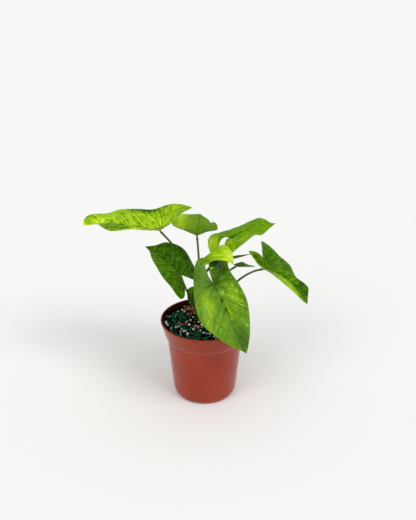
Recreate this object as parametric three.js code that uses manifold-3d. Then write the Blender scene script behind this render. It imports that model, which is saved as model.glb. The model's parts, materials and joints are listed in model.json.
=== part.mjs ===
// Arrowhead plant (Syngonium podophyllum) standing in its plastic nursery pot.
//
// Millimetres, +Z up, +X to the right and +Y to the back of the plant. The origin is the centre of the
// pot's underside. Nine leaf blades sit on nine stalks, a tenth shoot is a leaf that is still rolled up,
// and every stalk stands in its own hole in the potting mix.

import * as THREE from 'three';
import { mergeVertices } from 'three/addons/utils/BufferGeometryUtils.js';
import Module from 'manifold-3d';

const wasm = await Module();
wasm.setup();

// ---------------------------------------------------------------- driving dimensions

const GAP = 0.3;                 // clearance between pieces that touch

// pot
const POT_HEIGHT = 100;
const RIM_RADIUS = 53;
const BAND_HEIGHT = 20;          // plain band under the rim
const BAND_FOOT_RADIUS = 47.6;
const SHOULDER_HEIGHT = 3.5;
const BODY_TOP_RADIUS = 45.2;
const BODY_FOOT_RADIUS = 38.6;
const BODY_FOOT_Z = 9;
const HEEL_RADIUS = 37.3;        // rounded corner over the foot ring
const HEEL_Z = 4;
const FOOT_RADIUS = 34.5;
const FOOT_RING_WIDTH = 3.3;
const PAD_RADIUS = 12;           // flat pad in the middle of the underside
const RECESS = 2.6;              // height of the ring-shaped recess between pad and foot ring
const FLOOR = 1.6;
const WALL = 1.2;
const LIP = 1.6;                 // thickness of the rounded lip
const POT_SIDES = 48;

const NOTCHES = 4;               // arched openings in the foot ring
const NOTCH_WIDTH = 24;
const NOTCH_HEIGHT = 3.6;
const FIRST_NOTCH = -104;        // degrees from +X, a little left of the front
const DRAIN_HOLES = 4;
const DRAIN_RADIUS = 3.5;
const DRAIN_CIRCLE = 21.5;

// potting mix
const SOIL_EDGE_Z = 92;
const SOIL_MOUND = 2.5;          // the middle stands this much above the edge
const SOIL_BUMP = 0.7;
const SOIL_RINGS = 7;
const CRUMBS = 44;
const CRUMB_SEED = 11;
const HOLE_DRILL = 20;           // length of the drill for a stalk's hole, which leaves through the top

// leaf blades and stalks
const BLADE = 0.8;
const RIB = 0.9;                 // height of the midrib under the blade, at the stalk
const BASAL_RIB = 0.4;
const EDGE_STEPS = 2;            // edge points for each given point of a blade's outline
const RINGS = 7;
const RINGS_SMALL = 4;
const STALK_FOOT_RADIUS = 1.9;   // sheathed foot of a stalk
const STALK_TOP_RADIUS = 1.2;
const SHEATH_SHARE = 0.35;       // part of the stalk's length over which the sheath runs out
const STALK_DEPTH = 8;           // how deep a stalk stands in the mix
const STALK_SIDES = 8;
const STALK_STEPS = 14;
const CROWN = [0, 9];            // middle of the ring of stalks
const CROWN_RADIUS = 10;
const CROWN_Z = 94.5;

const COLOURS = {
  terracotta: 0xa65443,
  potting_mix: 0x2a201b,
  light_leaf: 0x8fb81f,
  mid_leaf: 0x5f9a22,
  dark_leaf: 0x2f6414,
  young_leaf: 0xa9cf17,
  stalk: 0x4b6a2b,
};

// Each blade is drawn in its own frame: x runs from the stalk to the tip, y to the left of it, z up from
// the face. `tip`, `left` and `right` are points of the edge, from the tip round to the notch at the
// stalk. `fold` is the slope of the V along the midrib, `bend` how late the edge's height is reached on
// the way out, and `bow` the arch of the midrib between stalk and tip. `lobe` holds the bend and the arch
// of the lobes behind the stalk where they differ. `foot` is where the stalk stands on the crown's ring,
// in degrees, and `via` holds the two points that steer the stalk's curve.
const LEAVES = {
  upper_left: {
    at: [-51, 6, 212.5], heading: 170, pitch: 6, roll: 0, fold: 0.15, bend: 1.15, bow: [0, 4],
    tip: [92, 0, -10], lobe: [0.7, 0],
    left: [[82, 4, -6], [72, 10, -1], [61, 22, 1], [49, 31, 3], [33, 33, 9], [15, 33, 12], [2, 32, 15],
      [-13, 25, 20], [-20, 19, 24], [-24, 12, 29]],
    right: [[93, -6, -6], [88, -15, -2], [70, -28, -2], [58, -35, 2], [37, -36, 6], [18, -35, 9],
      [-1, -31, 20], [-16, -24, 26], [-32, -14, 28], [-20, -10, 25]],
    colour: 'light_leaf', foot: 162, via: [[0, 20, 144], [-24, 30, 168]],
  },
  upper_middle: {
    at: [-9, 20, 200], heading: 87, pitch: 4, roll: 0, fold: 0.3, bend: 1.6, bow: [0, 0],
    tip: [60, 0, -1], lobe: [0.6, 2.5],
    left: [[50, 12, 3], [32, 21, 12], [14, 27, 16], [-2, 29, 16], [-11, 24, 16], [-18, 15, 16]],
    right: [[51, -5, 0], [41, -11, 1], [28, -15, 3], [14, -19, 11], [2, -23, 14], [-8, -24, 12],
      [-16, -15, 16]],
    colour: 'mid_leaf', foot: 128, via: [[-6, 22, 130], [-6, 21, 168]],
  },
  dark_left: {
    at: [-26.5, -14, 164.5], heading: 160, pitch: 54, roll: -13, fold: 0.1, bend: 2, bow: [0, 0],
    tip: [49, -3, -26],
    left: [[43, 4, -17], [36, 13, -11], [27, 20, -5], [13, 25, -1], [-2, 24, 0], [-12, 25, 1],
      [-19, 24, 2], [-20, 17, 2], [-13, 7, 1]],
    right: [[44, -7, -15], [40, -16, -7], [29, -23, 0], [17, -27, 1], [1, -26, 0], [-9, -25, 0],
      [-17, -26, 0], [-24, -20, -1]],
    colour: 'dark_leaf', foot: 230, via: [[-10, -3, 118], [-21, -12, 140]],
  },
  front: {
    at: [11.5, -32, 161], heading: -54, pitch: -44, roll: -16, fold: 0.14, bend: 2, bow: [0, 0],
    tip: [85, 2, -3],
    left: [[77, 9, -1], [62, 18, 3], [40, 27, 7], [24, 31, 8], [6, 31, 7], [-8, 30, 5], [-18, 33, 3],
      [-28, 38, 2], [-37, 30, 1], [-35, 12, 1], [-17, 2, 0]],
    right: [[80, -4, -3], [74, -12, -4], [63, -23, -5], [50, -34, -5], [40, -43, -3], [28, -46, 0],
      [15, -45, 3], [0, -41, 7], [-15, -35, 11], [-28, -24, 13], [-31, -11, 12]],
    colour: 'mid_leaf', foot: 304, via: [[9, -5, 120], [9, -19, 148]],
  },
  upper_right: {
    at: [30.5, 24, 195], heading: 38, pitch: 12, roll: 0, fold: 0.12, bend: 2.6, bow: [0, 0],
    tip: [70, -1, -14], lobe: [6, 4],
    left: [[65, 3, -12], [61, 10, -7], [56, 18, -7], [42, 25, -13], [25, 28, -11], [5, 27, -5],
      [-11, 24, 0], [-21, 18, -3], [-23, 12, -15], [-14, 7, -9]],
    right: [[57, -5, -13], [36, -14, -9], [22, -19, 0], [2, -26, 3], [-10, -27, 2], [-16, -22, -4],
      [-17, -17, -9], [-17, -11, -5], [-16, -7, -2]],
    colour: 'light_leaf', foot: 56, via: [[9, 25, 130], [28, 31, 168]],
  },
  young: {
    at: [-2.5, -20, 184], heading: 10, pitch: 0, roll: 35, fold: 0.1, bend: 1, bow: [2, 6],
    tip: [36, -4, -2],
    left: [[37, 5, -3], [36, 15, -3], [28, 21, 0], [18, 16, 1], [8, 9, 1], [0, 4, 0]],
    right: [[34, -3, -3], [30, 2, -3], [21, 4, -2], [13, 1, -1], [5, -3, -1], [1, -4, -1]],
    colour: 'young_leaf', foot: 266, via: [[-2, -2, 130], [-8, -14, 167]],
  },
  right: {
    at: [70, 4, 164.5], heading: -20, pitch: -27, roll: 0, fold: 0.2, bend: 1.4, bow: [0, 8],
    tip: [65, 0, -9],
    left: [[61, 5, -3], [56, 13, 3], [48, 17, 1], [36, 25, 0], [23, 30, 6], [6, 32, 8], [-4, 30, 12],
      [-15, 25, 16], [-20, 18, 18], [-10, 10, 14]],
    right: [[58, -6, -5], [41, -17, 5], [23, -26, 13], [12, -29, 16], [-3, -28, 17], [-16, -24, 18],
      [-25, -17, 18], [-16, -11, 19], [-6, -4, 13]],
    colour: 'mid_leaf', foot: 348, via: [[20, 7, 136], [50, 4, 163]],
  },
  small_right: {
    at: [37.5, 20, 160.5], heading: 4, pitch: -2, roll: -22, fold: 0.1, bend: 1.5, bow: [0, 0],
    tip: [23, 0, -1],
    left: [[20, 5, 0], [15, 8, 1], [9, 9, 4], [3, 8, 3], [-3, 5, 1]],
    right: [[18, -4, -1], [8, -6, -1], [1, -5, -1], [-3, -3, -1]],
    colour: 'dark_leaf', foot: 22, via: [[12, 13, 130], [22, 17, 155]],
  },
  small_crown: {
    at: [-8.5, 3, 123.5], heading: 180, pitch: 46, roll: -60, fold: -0.3, bend: 1.5, bow: [0, 0],
    tip: [18, 0, 0],
    left: [[14, 4, 0], [9, 8, 0], [3, 10, 0], [-3, 9, 0], [-6, 5, 0]],
    right: [[17, -5, 0], [14, -9, 0], [10, -13, 0], [3, -15, 0], [-3, -12, 0], [-6, -7, 0]],
    colour: 'dark_leaf', foot: 196, via: [[-11, 6, 105], [-10, 4, 114]],
  },
};

// The rolled leaf swells by `swell` from `rollFrom` of its length on, and tapers from `pointFrom` on.
const ROLLED_LEAF = {
  foot: 92, via: [[-12, 13, 168], [10, 12, 170]], end: [55, 14, 178.5],
  rollFrom: 0.5, swell: 0.9, pointFrom: 0.9, tipShare: 0.3,
};

// ---------------------------------------------------------------- small helpers

const radians = THREE.MathUtils.degToRad;
const vec = (p) => new THREE.Vector3(...p);

function material(name, roughness = 0.5) {
  return new THREE.MeshStandardMaterial({ color: COLOURS[name], roughness, metalness: 0 });
}

function named(name, geometry, mat) {
  const mesh = new THREE.Mesh(geometry, mat);
  mesh.name = name;
  return mesh;
}

// repeatable random numbers between 0 and 1
function seededRandom(seed) {
  let state = seed >>> 0;
  return () => {
    state = (Math.imul(state, 1664525) + 1013904223) >>> 0;
    return state / 4294967296;
  };
}

function toSolid(geometry) {
  const plain = geometry.clone();
  plain.deleteAttribute('normal');
  plain.deleteAttribute('uv');
  const merged = mergeVertices(plain, 1e-4);
  return new wasm.Manifold(new wasm.Mesh({
    numProp: 3,
    vertProperties: new Float32Array(merged.attributes.position.array),
    triVerts: new Uint32Array(merged.index.array),
  }));
}

function toGeometry(solid) {
  const mesh = solid.getMesh();
  const geometry = new THREE.BufferGeometry();
  geometry.setAttribute('position', new THREE.BufferAttribute(mesh.vertProperties, 3));
  geometry.setIndex(new THREE.BufferAttribute(mesh.triVerts, 1));
  geometry.computeVertexNormals();
  return geometry;
}

// solid of revolution about Z from [radius, z] points that start and end on the axis
function turned(profile, sides) {
  const points = profile.map(([r, z]) => new THREE.Vector2(r, z));
  return new THREE.LatheGeometry(points, sides).rotateX(Math.PI / 2);
}

function onCrown(degrees, z) {
  const a = radians(degrees);
  return new THREE.Vector3(CROWN[0] + CROWN_RADIUS * Math.cos(a), CROWN[1] + CROWN_RADIUS * Math.sin(a), z);
}

// ---------------------------------------------------------------- pot

function makePot() {
  const bandZ = POT_HEIGHT - BAND_HEIGHT;
  const shoulderZ = bandZ - SHOULDER_HEIGHT;
  const floorZ = RECESS + FLOOR;
  const profile = [
    [0, 0], [PAD_RADIUS, 0], [PAD_RADIUS + 1.5, RECESS],
    [FOOT_RADIUS - FOOT_RING_WIDTH - 1.2, RECESS], [FOOT_RADIUS - FOOT_RING_WIDTH, 0], [FOOT_RADIUS, 0],
    [HEEL_RADIUS, HEEL_Z], [BODY_FOOT_RADIUS, BODY_FOOT_Z],
    [BODY_TOP_RADIUS, shoulderZ], [BAND_FOOT_RADIUS, bandZ],
    [RIM_RADIUS, POT_HEIGHT - 0.6], [RIM_RADIUS - 0.6, POT_HEIGHT],
    [RIM_RADIUS - LIP + 0.5, POT_HEIGHT], [RIM_RADIUS - LIP - 0.1, POT_HEIGHT - 0.7],
    [BAND_FOOT_RADIUS - WALL, bandZ - 0.5], [BODY_TOP_RADIUS - WALL, shoulderZ - 0.3],
    [BODY_FOOT_RADIUS - WALL, BODY_FOOT_Z], [HEEL_RADIUS - WALL - 0.4, floorZ + 1],
    [HEEL_RADIUS - WALL - 2, floorZ], [0, floorZ],
  ];
  let pot = toSolid(turned(profile, POT_SIDES));

  // arched notches: the lower part of a radial cylinder whose chord is the notch's width
  const arch = (NOTCH_WIDTH ** 2 / 4 + NOTCH_HEIGHT ** 2) / (2 * NOTCH_HEIGHT);
  const reach = 12;
  const start = FOOT_RADIUS - FOOT_RING_WIDTH - 0.6;
  for (let k = 0; k < NOTCHES; k += 1) {
    const cutter = new THREE.CylinderGeometry(arch, arch, reach, 48)
      .rotateZ(Math.PI / 2)
      .translate(start + reach / 2, 0, NOTCH_HEIGHT - arch)
      .rotateZ(radians(FIRST_NOTCH + (k * 360) / NOTCHES));
    pot = pot.subtract(toSolid(cutter));
  }
  for (let k = 0; k < DRAIN_HOLES; k += 1) {
    const drill = new THREE.CylinderGeometry(DRAIN_RADIUS, DRAIN_RADIUS, 3 * FLOOR, 16)
      .rotateX(Math.PI / 2)
      .translate(DRAIN_CIRCLE, 0, RECESS + FLOOR / 2)
      .rotateZ(radians(FIRST_NOTCH + ((k + 0.5) * 360) / DRAIN_HOLES));
    pot = pot.subtract(toSolid(drill));
  }
  return named('pot', toGeometry(pot), material('terracotta', 0.35));
}

// ---------------------------------------------------------------- potting mix

// height of the mix above its edge: a low mound with small bumps that die out at the wall
function soilRelief(x, y, edgeRadius) {
  const out = Math.min(1, Math.hypot(x, y) / edgeRadius);
  const bumps = Math.sin(0.31 * x + 1.3) * Math.cos(0.27 * y) + 0.6 * Math.sin(0.55 * x - 0.43 * y);
  return SOIL_MOUND * (1 - out * out) + SOIL_BUMP * bumps * (1 - out ** 4);
}

// a stone-like crumb, half sunk in the surface
function crumb(random, edgeRadius) {
  const r = Math.sqrt(random()) * (edgeRadius - 4);
  const a = random() * 2 * Math.PI;
  const size = 0.9 + 1.3 * random();
  const x = r * Math.cos(a);
  const y = r * Math.sin(a);
  return new THREE.OctahedronGeometry(size, 0)
    .scale(1.3, 1, 0.8)
    .rotateX(random() * 0.6)
    .rotateZ(random() * Math.PI)
    .translate(x, y, SOIL_EDGE_Z + soilRelief(x, y, edgeRadius) + 0.2 * size);
}

function makeSoil(feet) {
  const bandZ = POT_HEIGHT - BAND_HEIGHT;
  const shoulderZ = bandZ - SHOULDER_HEIGHT;
  const floorZ = RECESS + FLOOR + GAP;
  const inset = WALL + GAP + 0.05;
  const innerBand = BAND_FOOT_RADIUS - WALL - GAP - 0.1;
  const innerRim = RIM_RADIUS - LIP - 0.1 - GAP - 0.1;
  const rise = (SOIL_EDGE_Z - bandZ) / (POT_HEIGHT - bandZ);
  const edgeRadius = THREE.MathUtils.lerp(innerBand, innerRim, rise);
  const profile = [
    [0, floorZ], [HEEL_RADIUS - inset - 2.2, floorZ], [HEEL_RADIUS - inset - 0.5, floorZ + 1.2],
    [BODY_FOOT_RADIUS - inset, BODY_FOOT_Z + 0.3], [BODY_TOP_RADIUS - inset, shoulderZ - 0.3],
    [innerBand, bandZ - 0.2], [edgeRadius, SOIL_EDGE_Z],
  ];
  for (let k = SOIL_RINGS - 1; k >= 0; k -= 1) {
    profile.push([(edgeRadius * k) / SOIL_RINGS, SOIL_EDGE_Z]);
  }
  const body = turned(profile, POT_SIDES);
  const position = body.attributes.position;
  for (let i = 0; i < position.count; i += 1) {
    if (position.getZ(i) > SOIL_EDGE_Z - 0.01) {
      position.setZ(i, SOIL_EDGE_Z + soilRelief(position.getX(i), position.getY(i), edgeRadius));
    }
  }
  let soil = toSolid(body);
  const random = seededRandom(CRUMB_SEED);
  for (let k = 0; k < CRUMBS; k += 1) {
    soil = soil.add(toSolid(crumb(random, edgeRadius)));
  }
  const holeRadius = STALK_FOOT_RADIUS + 1.5 * GAP;
  for (const foot of feet) {
    const bottom = onCrown(foot, CROWN_Z - STALK_DEPTH - GAP);
    const hole = new THREE.CylinderGeometry(holeRadius, holeRadius, HOLE_DRILL, 12)
      .rotateX(Math.PI / 2)
      .translate(bottom.x, bottom.y, bottom.z + HOLE_DRILL / 2);
    soil = soil.subtract(toSolid(hole));
  }
  return named('potting_mix', toGeometry(soil), material('potting_mix', 0.95));
}

// ---------------------------------------------------------------- leaf blades

// the blade's own axes: along to the tip, across to the left, and up from the upper face
function leafFrame(leaf) {
  const [he, pi, ro] = [leaf.heading, leaf.pitch, leaf.roll].map(radians);
  const along = new THREE.Vector3(Math.cos(pi) * Math.cos(he), Math.cos(pi) * Math.sin(he), Math.sin(pi));
  const level = new THREE.Vector3(-Math.sin(he), Math.cos(he), 0);
  const lift = along.clone().cross(level);
  const across = level.clone().multiplyScalar(Math.cos(ro)).addScaledVector(lift, Math.sin(ro));
  const up = lift.multiplyScalar(Math.cos(ro)).addScaledVector(level, -Math.sin(ro));
  return { along, across, up };
}

// edge points from the right lobe round the tip to the left lobe
function leafEdge(leaf) {
  const half = (side) => {
    const curve = new THREE.CatmullRomCurve3([leaf.tip, ...side].map(vec), false, 'catmullrom', 0.5);
    return curve.getPoints(side.length * EDGE_STEPS);
  };
  const left = half(leaf.left);
  return [...half(leaf.right).reverse(), ...left.slice(1)];
}

// a point of the upper face: `rho` runs from 0 at the stalk to 1 at the edge point
function leafPoint(leaf, frame, edge, rho) {
  const { clamp, lerp } = THREE.MathUtils;
  const farthestBack = Math.min(-1, ...[...leaf.left, ...leaf.right].map((p) => p[0]));
  const toTip = clamp(edge.x / leaf.tip[0], 0, 1);
  const toLobe = clamp(edge.x / farthestBack, 0, 1);
  const [lobeBend, lobeBow] = leaf.lobe ?? [leaf.bend, 0];
  const bend = lerp(leaf.bend, lobeBend, toLobe);
  const arch = 4 * rho * (1 - rho);
  const veeHeight = leaf.fold * Math.abs(edge.y);
  const x = edge.x * rho + leaf.bow[0] * toTip * arch;
  const z = veeHeight * rho + (edge.z - veeHeight) * rho ** bend
    + (leaf.bow[1] * toTip + lobeBow * toLobe) * arch;
  return vec(leaf.at)
    .addScaledVector(frame.along, x)
    .addScaledVector(frame.across, edge.y * rho)
    .addScaledVector(frame.up, z);
}

// Both faces are the same fan of rings and spokes round the stalk, so their triangles match. The spoke
// to the tip carries the midrib, and the spokes to the lobes carry the basal ribs.
function makeBlade(name, leaf, rings) {
  const frame = leafFrame(leaf);
  const edge = leafEdge(leaf);
  const spokes = edge.length;
  const midrib = leaf.right.length * EDGE_STEPS;
  const basal = [3 * EDGE_STEPS, spokes - 1 - 3 * EDGE_STEPS];

  const points = [vec(leaf.at)];
  for (let j = 1; j <= rings; j += 1) {
    for (const e of edge) points.push(leafPoint(leaf, frame, e, j / rings));
  }
  const at = (i, j) => (j === 0 ? 0 : 1 + (j - 1) * spokes + i);
  const faces = [];
  for (let i = 0; i < spokes - 1; i += 1) {
    faces.push([0, at(i, 1), at(i + 1, 1)]);
    for (let j = 1; j < rings; j += 1) {
      faces.push([at(i, j), at(i, j + 1), at(i + 1, j + 1)]);
      faces.push([at(i, j), at(i + 1, j + 1), at(i + 1, j)]);
    }
  }
  const sheet = new THREE.BufferGeometry().setFromPoints(points);
  sheet.setIndex(faces.flat());
  sheet.computeVertexNormals();
  const normals = sheet.attributes.normal;

  const thickness = (k) => {
    if (k === 0) return BLADE + RIB;
    const i = (k - 1) % spokes;
    const rho = (Math.floor((k - 1) / spokes) + 1) / rings;
    if (i === midrib) return BLADE + RIB * (1 - 0.8 * rho);
    if (basal.includes(i)) return BLADE + BASAL_RIB * (1 - rho);
    return BLADE;
  };
  const under = points.map((p, k) => {
    const n = new THREE.Vector3().fromBufferAttribute(normals, k);
    return p.clone().addScaledVector(n, -thickness(k));
  });

  const low = points.length;
  const all = faces.flatMap(([a, b, c]) => [[a, b, c], [low + a, low + c, low + b]]);
  const border = [0];
  for (let j = 1; j <= rings; j += 1) border.push(at(0, j));
  for (let i = 1; i < spokes; i += 1) border.push(at(i, rings));
  for (let j = rings - 1; j >= 1; j -= 1) border.push(at(spokes - 1, j));
  border.forEach((a, k) => {
    const b = border[(k + 1) % border.length];
    all.push([a, low + a, low + b]);
    all.push([a, low + b, b]);
  });
  const geometry = new THREE.BufferGeometry().setFromPoints([...points, ...under]);
  geometry.setIndex(all.flat());
  geometry.computeVertexNormals();
  return named(name, geometry, material(leaf.colour, 0.4));
}

// ---------------------------------------------------------------- stalks

// round bar with its own radius at every point of a path, closed at both ends
function taperedBar(path, radii, sides) {
  const points = [];
  let side = new THREE.Vector3(1, 0, 0);
  path.forEach((p, k) => {
    const ahead = path[Math.min(k + 1, path.length - 1)];
    const behind = path[Math.max(k - 1, 0)];
    const along = ahead.clone().sub(behind).normalize();
    side = side.clone().addScaledVector(along, -side.dot(along)).normalize();
    const other = along.clone().cross(side);
    for (let s = 0; s < sides; s += 1) {
      const a = (2 * Math.PI * s) / sides;
      points.push(p.clone()
        .addScaledVector(side, radii[k] * Math.cos(a))
        .addScaledVector(other, radii[k] * Math.sin(a)));
    }
  });
  const first = points.push(path[0]) - 1;
  const last = points.push(path[path.length - 1]) - 1;
  const faces = [];
  const top = (path.length - 1) * sides;
  for (let s = 0; s < sides; s += 1) {
    const n = (s + 1) % sides;
    for (let k = 0; k < path.length - 1; k += 1) {
      const [a, b] = [k * sides + s, k * sides + n];
      faces.push([a, b, b + sides], [a, b + sides, a + sides]);
    }
    faces.push([first, n, s], [last, top + s, top + n]);
  }
  const geometry = new THREE.BufferGeometry().setFromPoints(points);
  geometry.setIndex(faces.flat());
  geometry.computeVertexNormals();
  return geometry;
}

// a stalk goes straight up out of the mix and then along a curve to its end
function stalkPath(foot, via, end) {
  const ground = onCrown(foot, CROWN_Z);
  const buried = onCrown(foot, CROWN_Z - STALK_DEPTH);
  const curve = new THREE.CubicBezierCurve3(ground, vec(via[0]), vec(via[1]), end);
  return [buried, ...curve.getPoints(STALK_STEPS)];
}

// radius at a share t of the stalk's length: the sheath at the foot runs out into a plain round stalk
function stalkRadius(t) {
  const sheath = Math.max(0, 1 - t / SHEATH_SHARE);
  return THREE.MathUtils.lerp(STALK_TOP_RADIUS, STALK_FOOT_RADIUS, sheath);
}

// the stalk ends under the blade, clear of the midrib by the usual gap
function makeStalk(name, leaf) {
  const { up } = leafFrame(leaf);
  const arrival = vec(leaf.at).sub(vec(leaf.via[1])).normalize();
  const tilt = arrival.clone().cross(up).length();
  const below = BLADE + RIB + GAP + STALK_TOP_RADIUS * tilt;
  const end = vec(leaf.at).addScaledVector(up, -below);
  const path = stalkPath(leaf.foot, leaf.via, end);
  const radii = path.map((_, k) => stalkRadius(Math.max(0, k - 1) / STALK_STEPS));
  return named(name, taperedBar(path, radii, STALK_SIDES), material('stalk'));
}

// the rolled leaf swells from its stalk into a slim spindle and runs out in a point
function makeRolledLeaf() {
  const { foot, via, end, rollFrom, swell, pointFrom, tipShare } = ROLLED_LEAF;
  const path = stalkPath(foot, via, vec(end));
  const radii = path.map((_, k) => {
    const t = Math.max(0, k - 1) / STALK_STEPS;
    const roll = Math.sin(Math.PI * Math.max(0, (t - rollFrom) / (1 - rollFrom)));
    const towardsTip = Math.max(0, (t - pointFrom) / (1 - pointFrom));
    return (stalkRadius(t) + swell * roll) * THREE.MathUtils.lerp(1, tipShare, towardsTip);
  });
  return named('rolled_leaf', taperedBar(path, radii, STALK_SIDES), material('stalk'));
}

// ---------------------------------------------------------------- plant

const plant = new THREE.Group();
const feet = [...Object.values(LEAVES).map((leaf) => leaf.foot), ROLLED_LEAF.foot];
plant.add(makePot());
plant.add(makeSoil(feet));
for (const [name, leaf] of Object.entries(LEAVES)) {
  const rings = name.startsWith('small') ? RINGS_SMALL : RINGS;
  plant.add(makeBlade(`leaf_${name}`, leaf, rings));
  plant.add(makeStalk(`stalk_${name}`, leaf));
}
plant.add(makeRolledLeaf());

export default plant;
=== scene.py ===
"""Looks of a potted arrowhead plant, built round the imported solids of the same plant.

Sizes are in millimetres until a mesh is made. +Z is up, +X to the right, +Y to the back, and the origin
is the centre of the pot's underside. Pot, mix, outlines of the blades and paths of the stalks have the
sizes of the solids. Rounded edges, veins, quilting, sheaths, loose grains and finishes are added here.
"""

import json
import math
import random

import bmesh
import bpy
import numpy as np
from mathutils import Matrix, Vector, noise

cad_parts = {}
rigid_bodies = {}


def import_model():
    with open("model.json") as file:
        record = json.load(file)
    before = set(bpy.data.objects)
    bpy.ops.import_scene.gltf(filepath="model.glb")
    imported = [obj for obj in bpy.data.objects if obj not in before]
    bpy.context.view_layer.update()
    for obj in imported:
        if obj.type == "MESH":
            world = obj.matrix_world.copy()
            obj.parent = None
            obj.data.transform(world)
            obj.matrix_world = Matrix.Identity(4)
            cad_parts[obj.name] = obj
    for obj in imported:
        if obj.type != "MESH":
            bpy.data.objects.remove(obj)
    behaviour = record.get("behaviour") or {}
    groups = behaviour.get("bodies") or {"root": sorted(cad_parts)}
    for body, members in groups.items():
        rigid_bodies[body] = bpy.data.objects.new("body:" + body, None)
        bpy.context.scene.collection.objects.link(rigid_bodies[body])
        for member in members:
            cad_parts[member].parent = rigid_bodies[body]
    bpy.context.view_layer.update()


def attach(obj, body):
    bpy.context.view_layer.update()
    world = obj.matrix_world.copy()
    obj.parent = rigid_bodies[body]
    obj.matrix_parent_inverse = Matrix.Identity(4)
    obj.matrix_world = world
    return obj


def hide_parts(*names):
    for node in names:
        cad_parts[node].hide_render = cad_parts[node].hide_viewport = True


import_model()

MM = 0.001

# ---------------------------------------------------------------- sizes

# pot
POT_HEIGHT = 100
RIM_RADIUS = 53
LIP = 1.6                        # width of the rim's flat top
BAND_HEIGHT = 20
BAND_FOOT_RADIUS = 47.6
SHOULDER_HEIGHT = 3.5            # of the step under the band
BODY_TOP_RADIUS = 45.2
BODY_FOOT_RADIUS = 38.6
BODY_FOOT_Z = 9
HEEL_RADIUS = 37.3               # where the wall turns in to the foot ring
HEEL_Z = 4
FOOT_RADIUS = 34.5
FOOT_RING_WIDTH = 3.3
PAD_RADIUS = 12                  # of the low boss under the middle of the floor
RECESS = 2.6                     # from the foot up to the underside of the floor
FLOOR = 1.6
WALL = 1.2
BAND_Z = POT_HEIGHT - BAND_HEIGHT
SHOULDER_Z = BAND_Z - SHOULDER_HEIGHT
FLOOR_Z = RECESS + FLOOR
POT_SIDES = 256
POT_CREASE = 35                  # degrees, past which an edge of the pot stays sharp
NOTCHES = 4                      # arched openings in the foot ring
NOTCH_WIDTH = 24
NOTCH_HEIGHT = 3.6
FIRST_NOTCH = -104               # degrees round from +X
PAINTED_INNER_SHADE = 0.92                   # how dark the inner wall is painted, as painted shade; 1 hides the red
DRAIN_HOLES = 4
DRAIN_RADIUS = 3.5
DRAIN_CIRCLE = 21.5              # radius on which their centres lie

# potting mix
MIX_EDGE_Z = 92
MIX_EDGE_RADIUS = 48.7
MIX_MOUND = 2.5
MIX_BUMP = 0.7
MIX_CLEARANCE = 0.35             # between its side and the pot's wall
CRUMB_HEIGHT = 1.1               # crumbs of 2 to 3 mm on its top, with finer ones on them
BARE_EDGE = 2.2                  # beside the wall, where no grains are scattered
MIX_RINGS = 70
MIX_SIDES = 200

# blades
BLADE = 0.5                      # a leaf's thickness
THINNEST = 0.22                  # of it, at the rim and under the grooves
RIM_FROM = 0.93                  # share of the way out where the blade starts to thin
RIB = 0.9                        # how far the midrib stands out under the blade
RIB_WIDTH = 1.0
SIDE_RIB = 0.25                  # the same of a side vein
SIDE_RIB_WIDTH = 0.6
GROOVE = 0.3                     # depth over the midrib, on the upper face
GROOVE_WIDTH = 1.5
SIDE_GROOVE = 0.25               # depth over a side vein
SIDE_GROOVE_WIDTH = 0.9
EDGE_STEPS = 12                  # spokes to each given point of the edge
RINGS = 64
RELIEF_LENGTH = 85               # length of the blade that the relief below is given for
QUILT_HEIGHT = 0.9               # swelling between two side veins
RIPPLE_HEIGHT = 0.012            # four fine waves between two side veins
PUCKER_HEIGHT = 0.35             # small uneven bulges on the swelling
SWELL_HEIGHT = 0.16              # slow waves over the whole blade
SWELLS = 5
PUCKER_LENGTH = 7                # of one bulge, along the veins
FLAT_RIM = 7                     # the relief dies out over this much of the rim
VEIN_ANGLE = 54                  # between the midrib and a side vein, in degrees
VEIN_SWEEP = 0.009               # how fast a side vein bends to the tip, per mm
VEIN_SPACING = 0.19              # of the length from stalk to tip
VEIN_FAN = 36                    # degrees between the veins of the lobes

# stalks
STALK_FOOT_RADIUS = 1.9
STALK_TOP_RADIUS = 1.2
STALK_SIDES = 28
SHEATH_SHARE = 0.35
SHEATH_LIPS = 0.9
JOINT_SWELLING = 0.25            # where the blade sits on the stalk
STALK_DEPTH = 8
ROLL_SWELLING = 0.9              # how far the rolled leaf stands out from its stalk
ROLL_STEP = -0.3                 # at the edge of its outermost turn
CROWN = (0, 9)
CROWN_RADIUS = 10
CROWN_Z = 94.5
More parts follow.
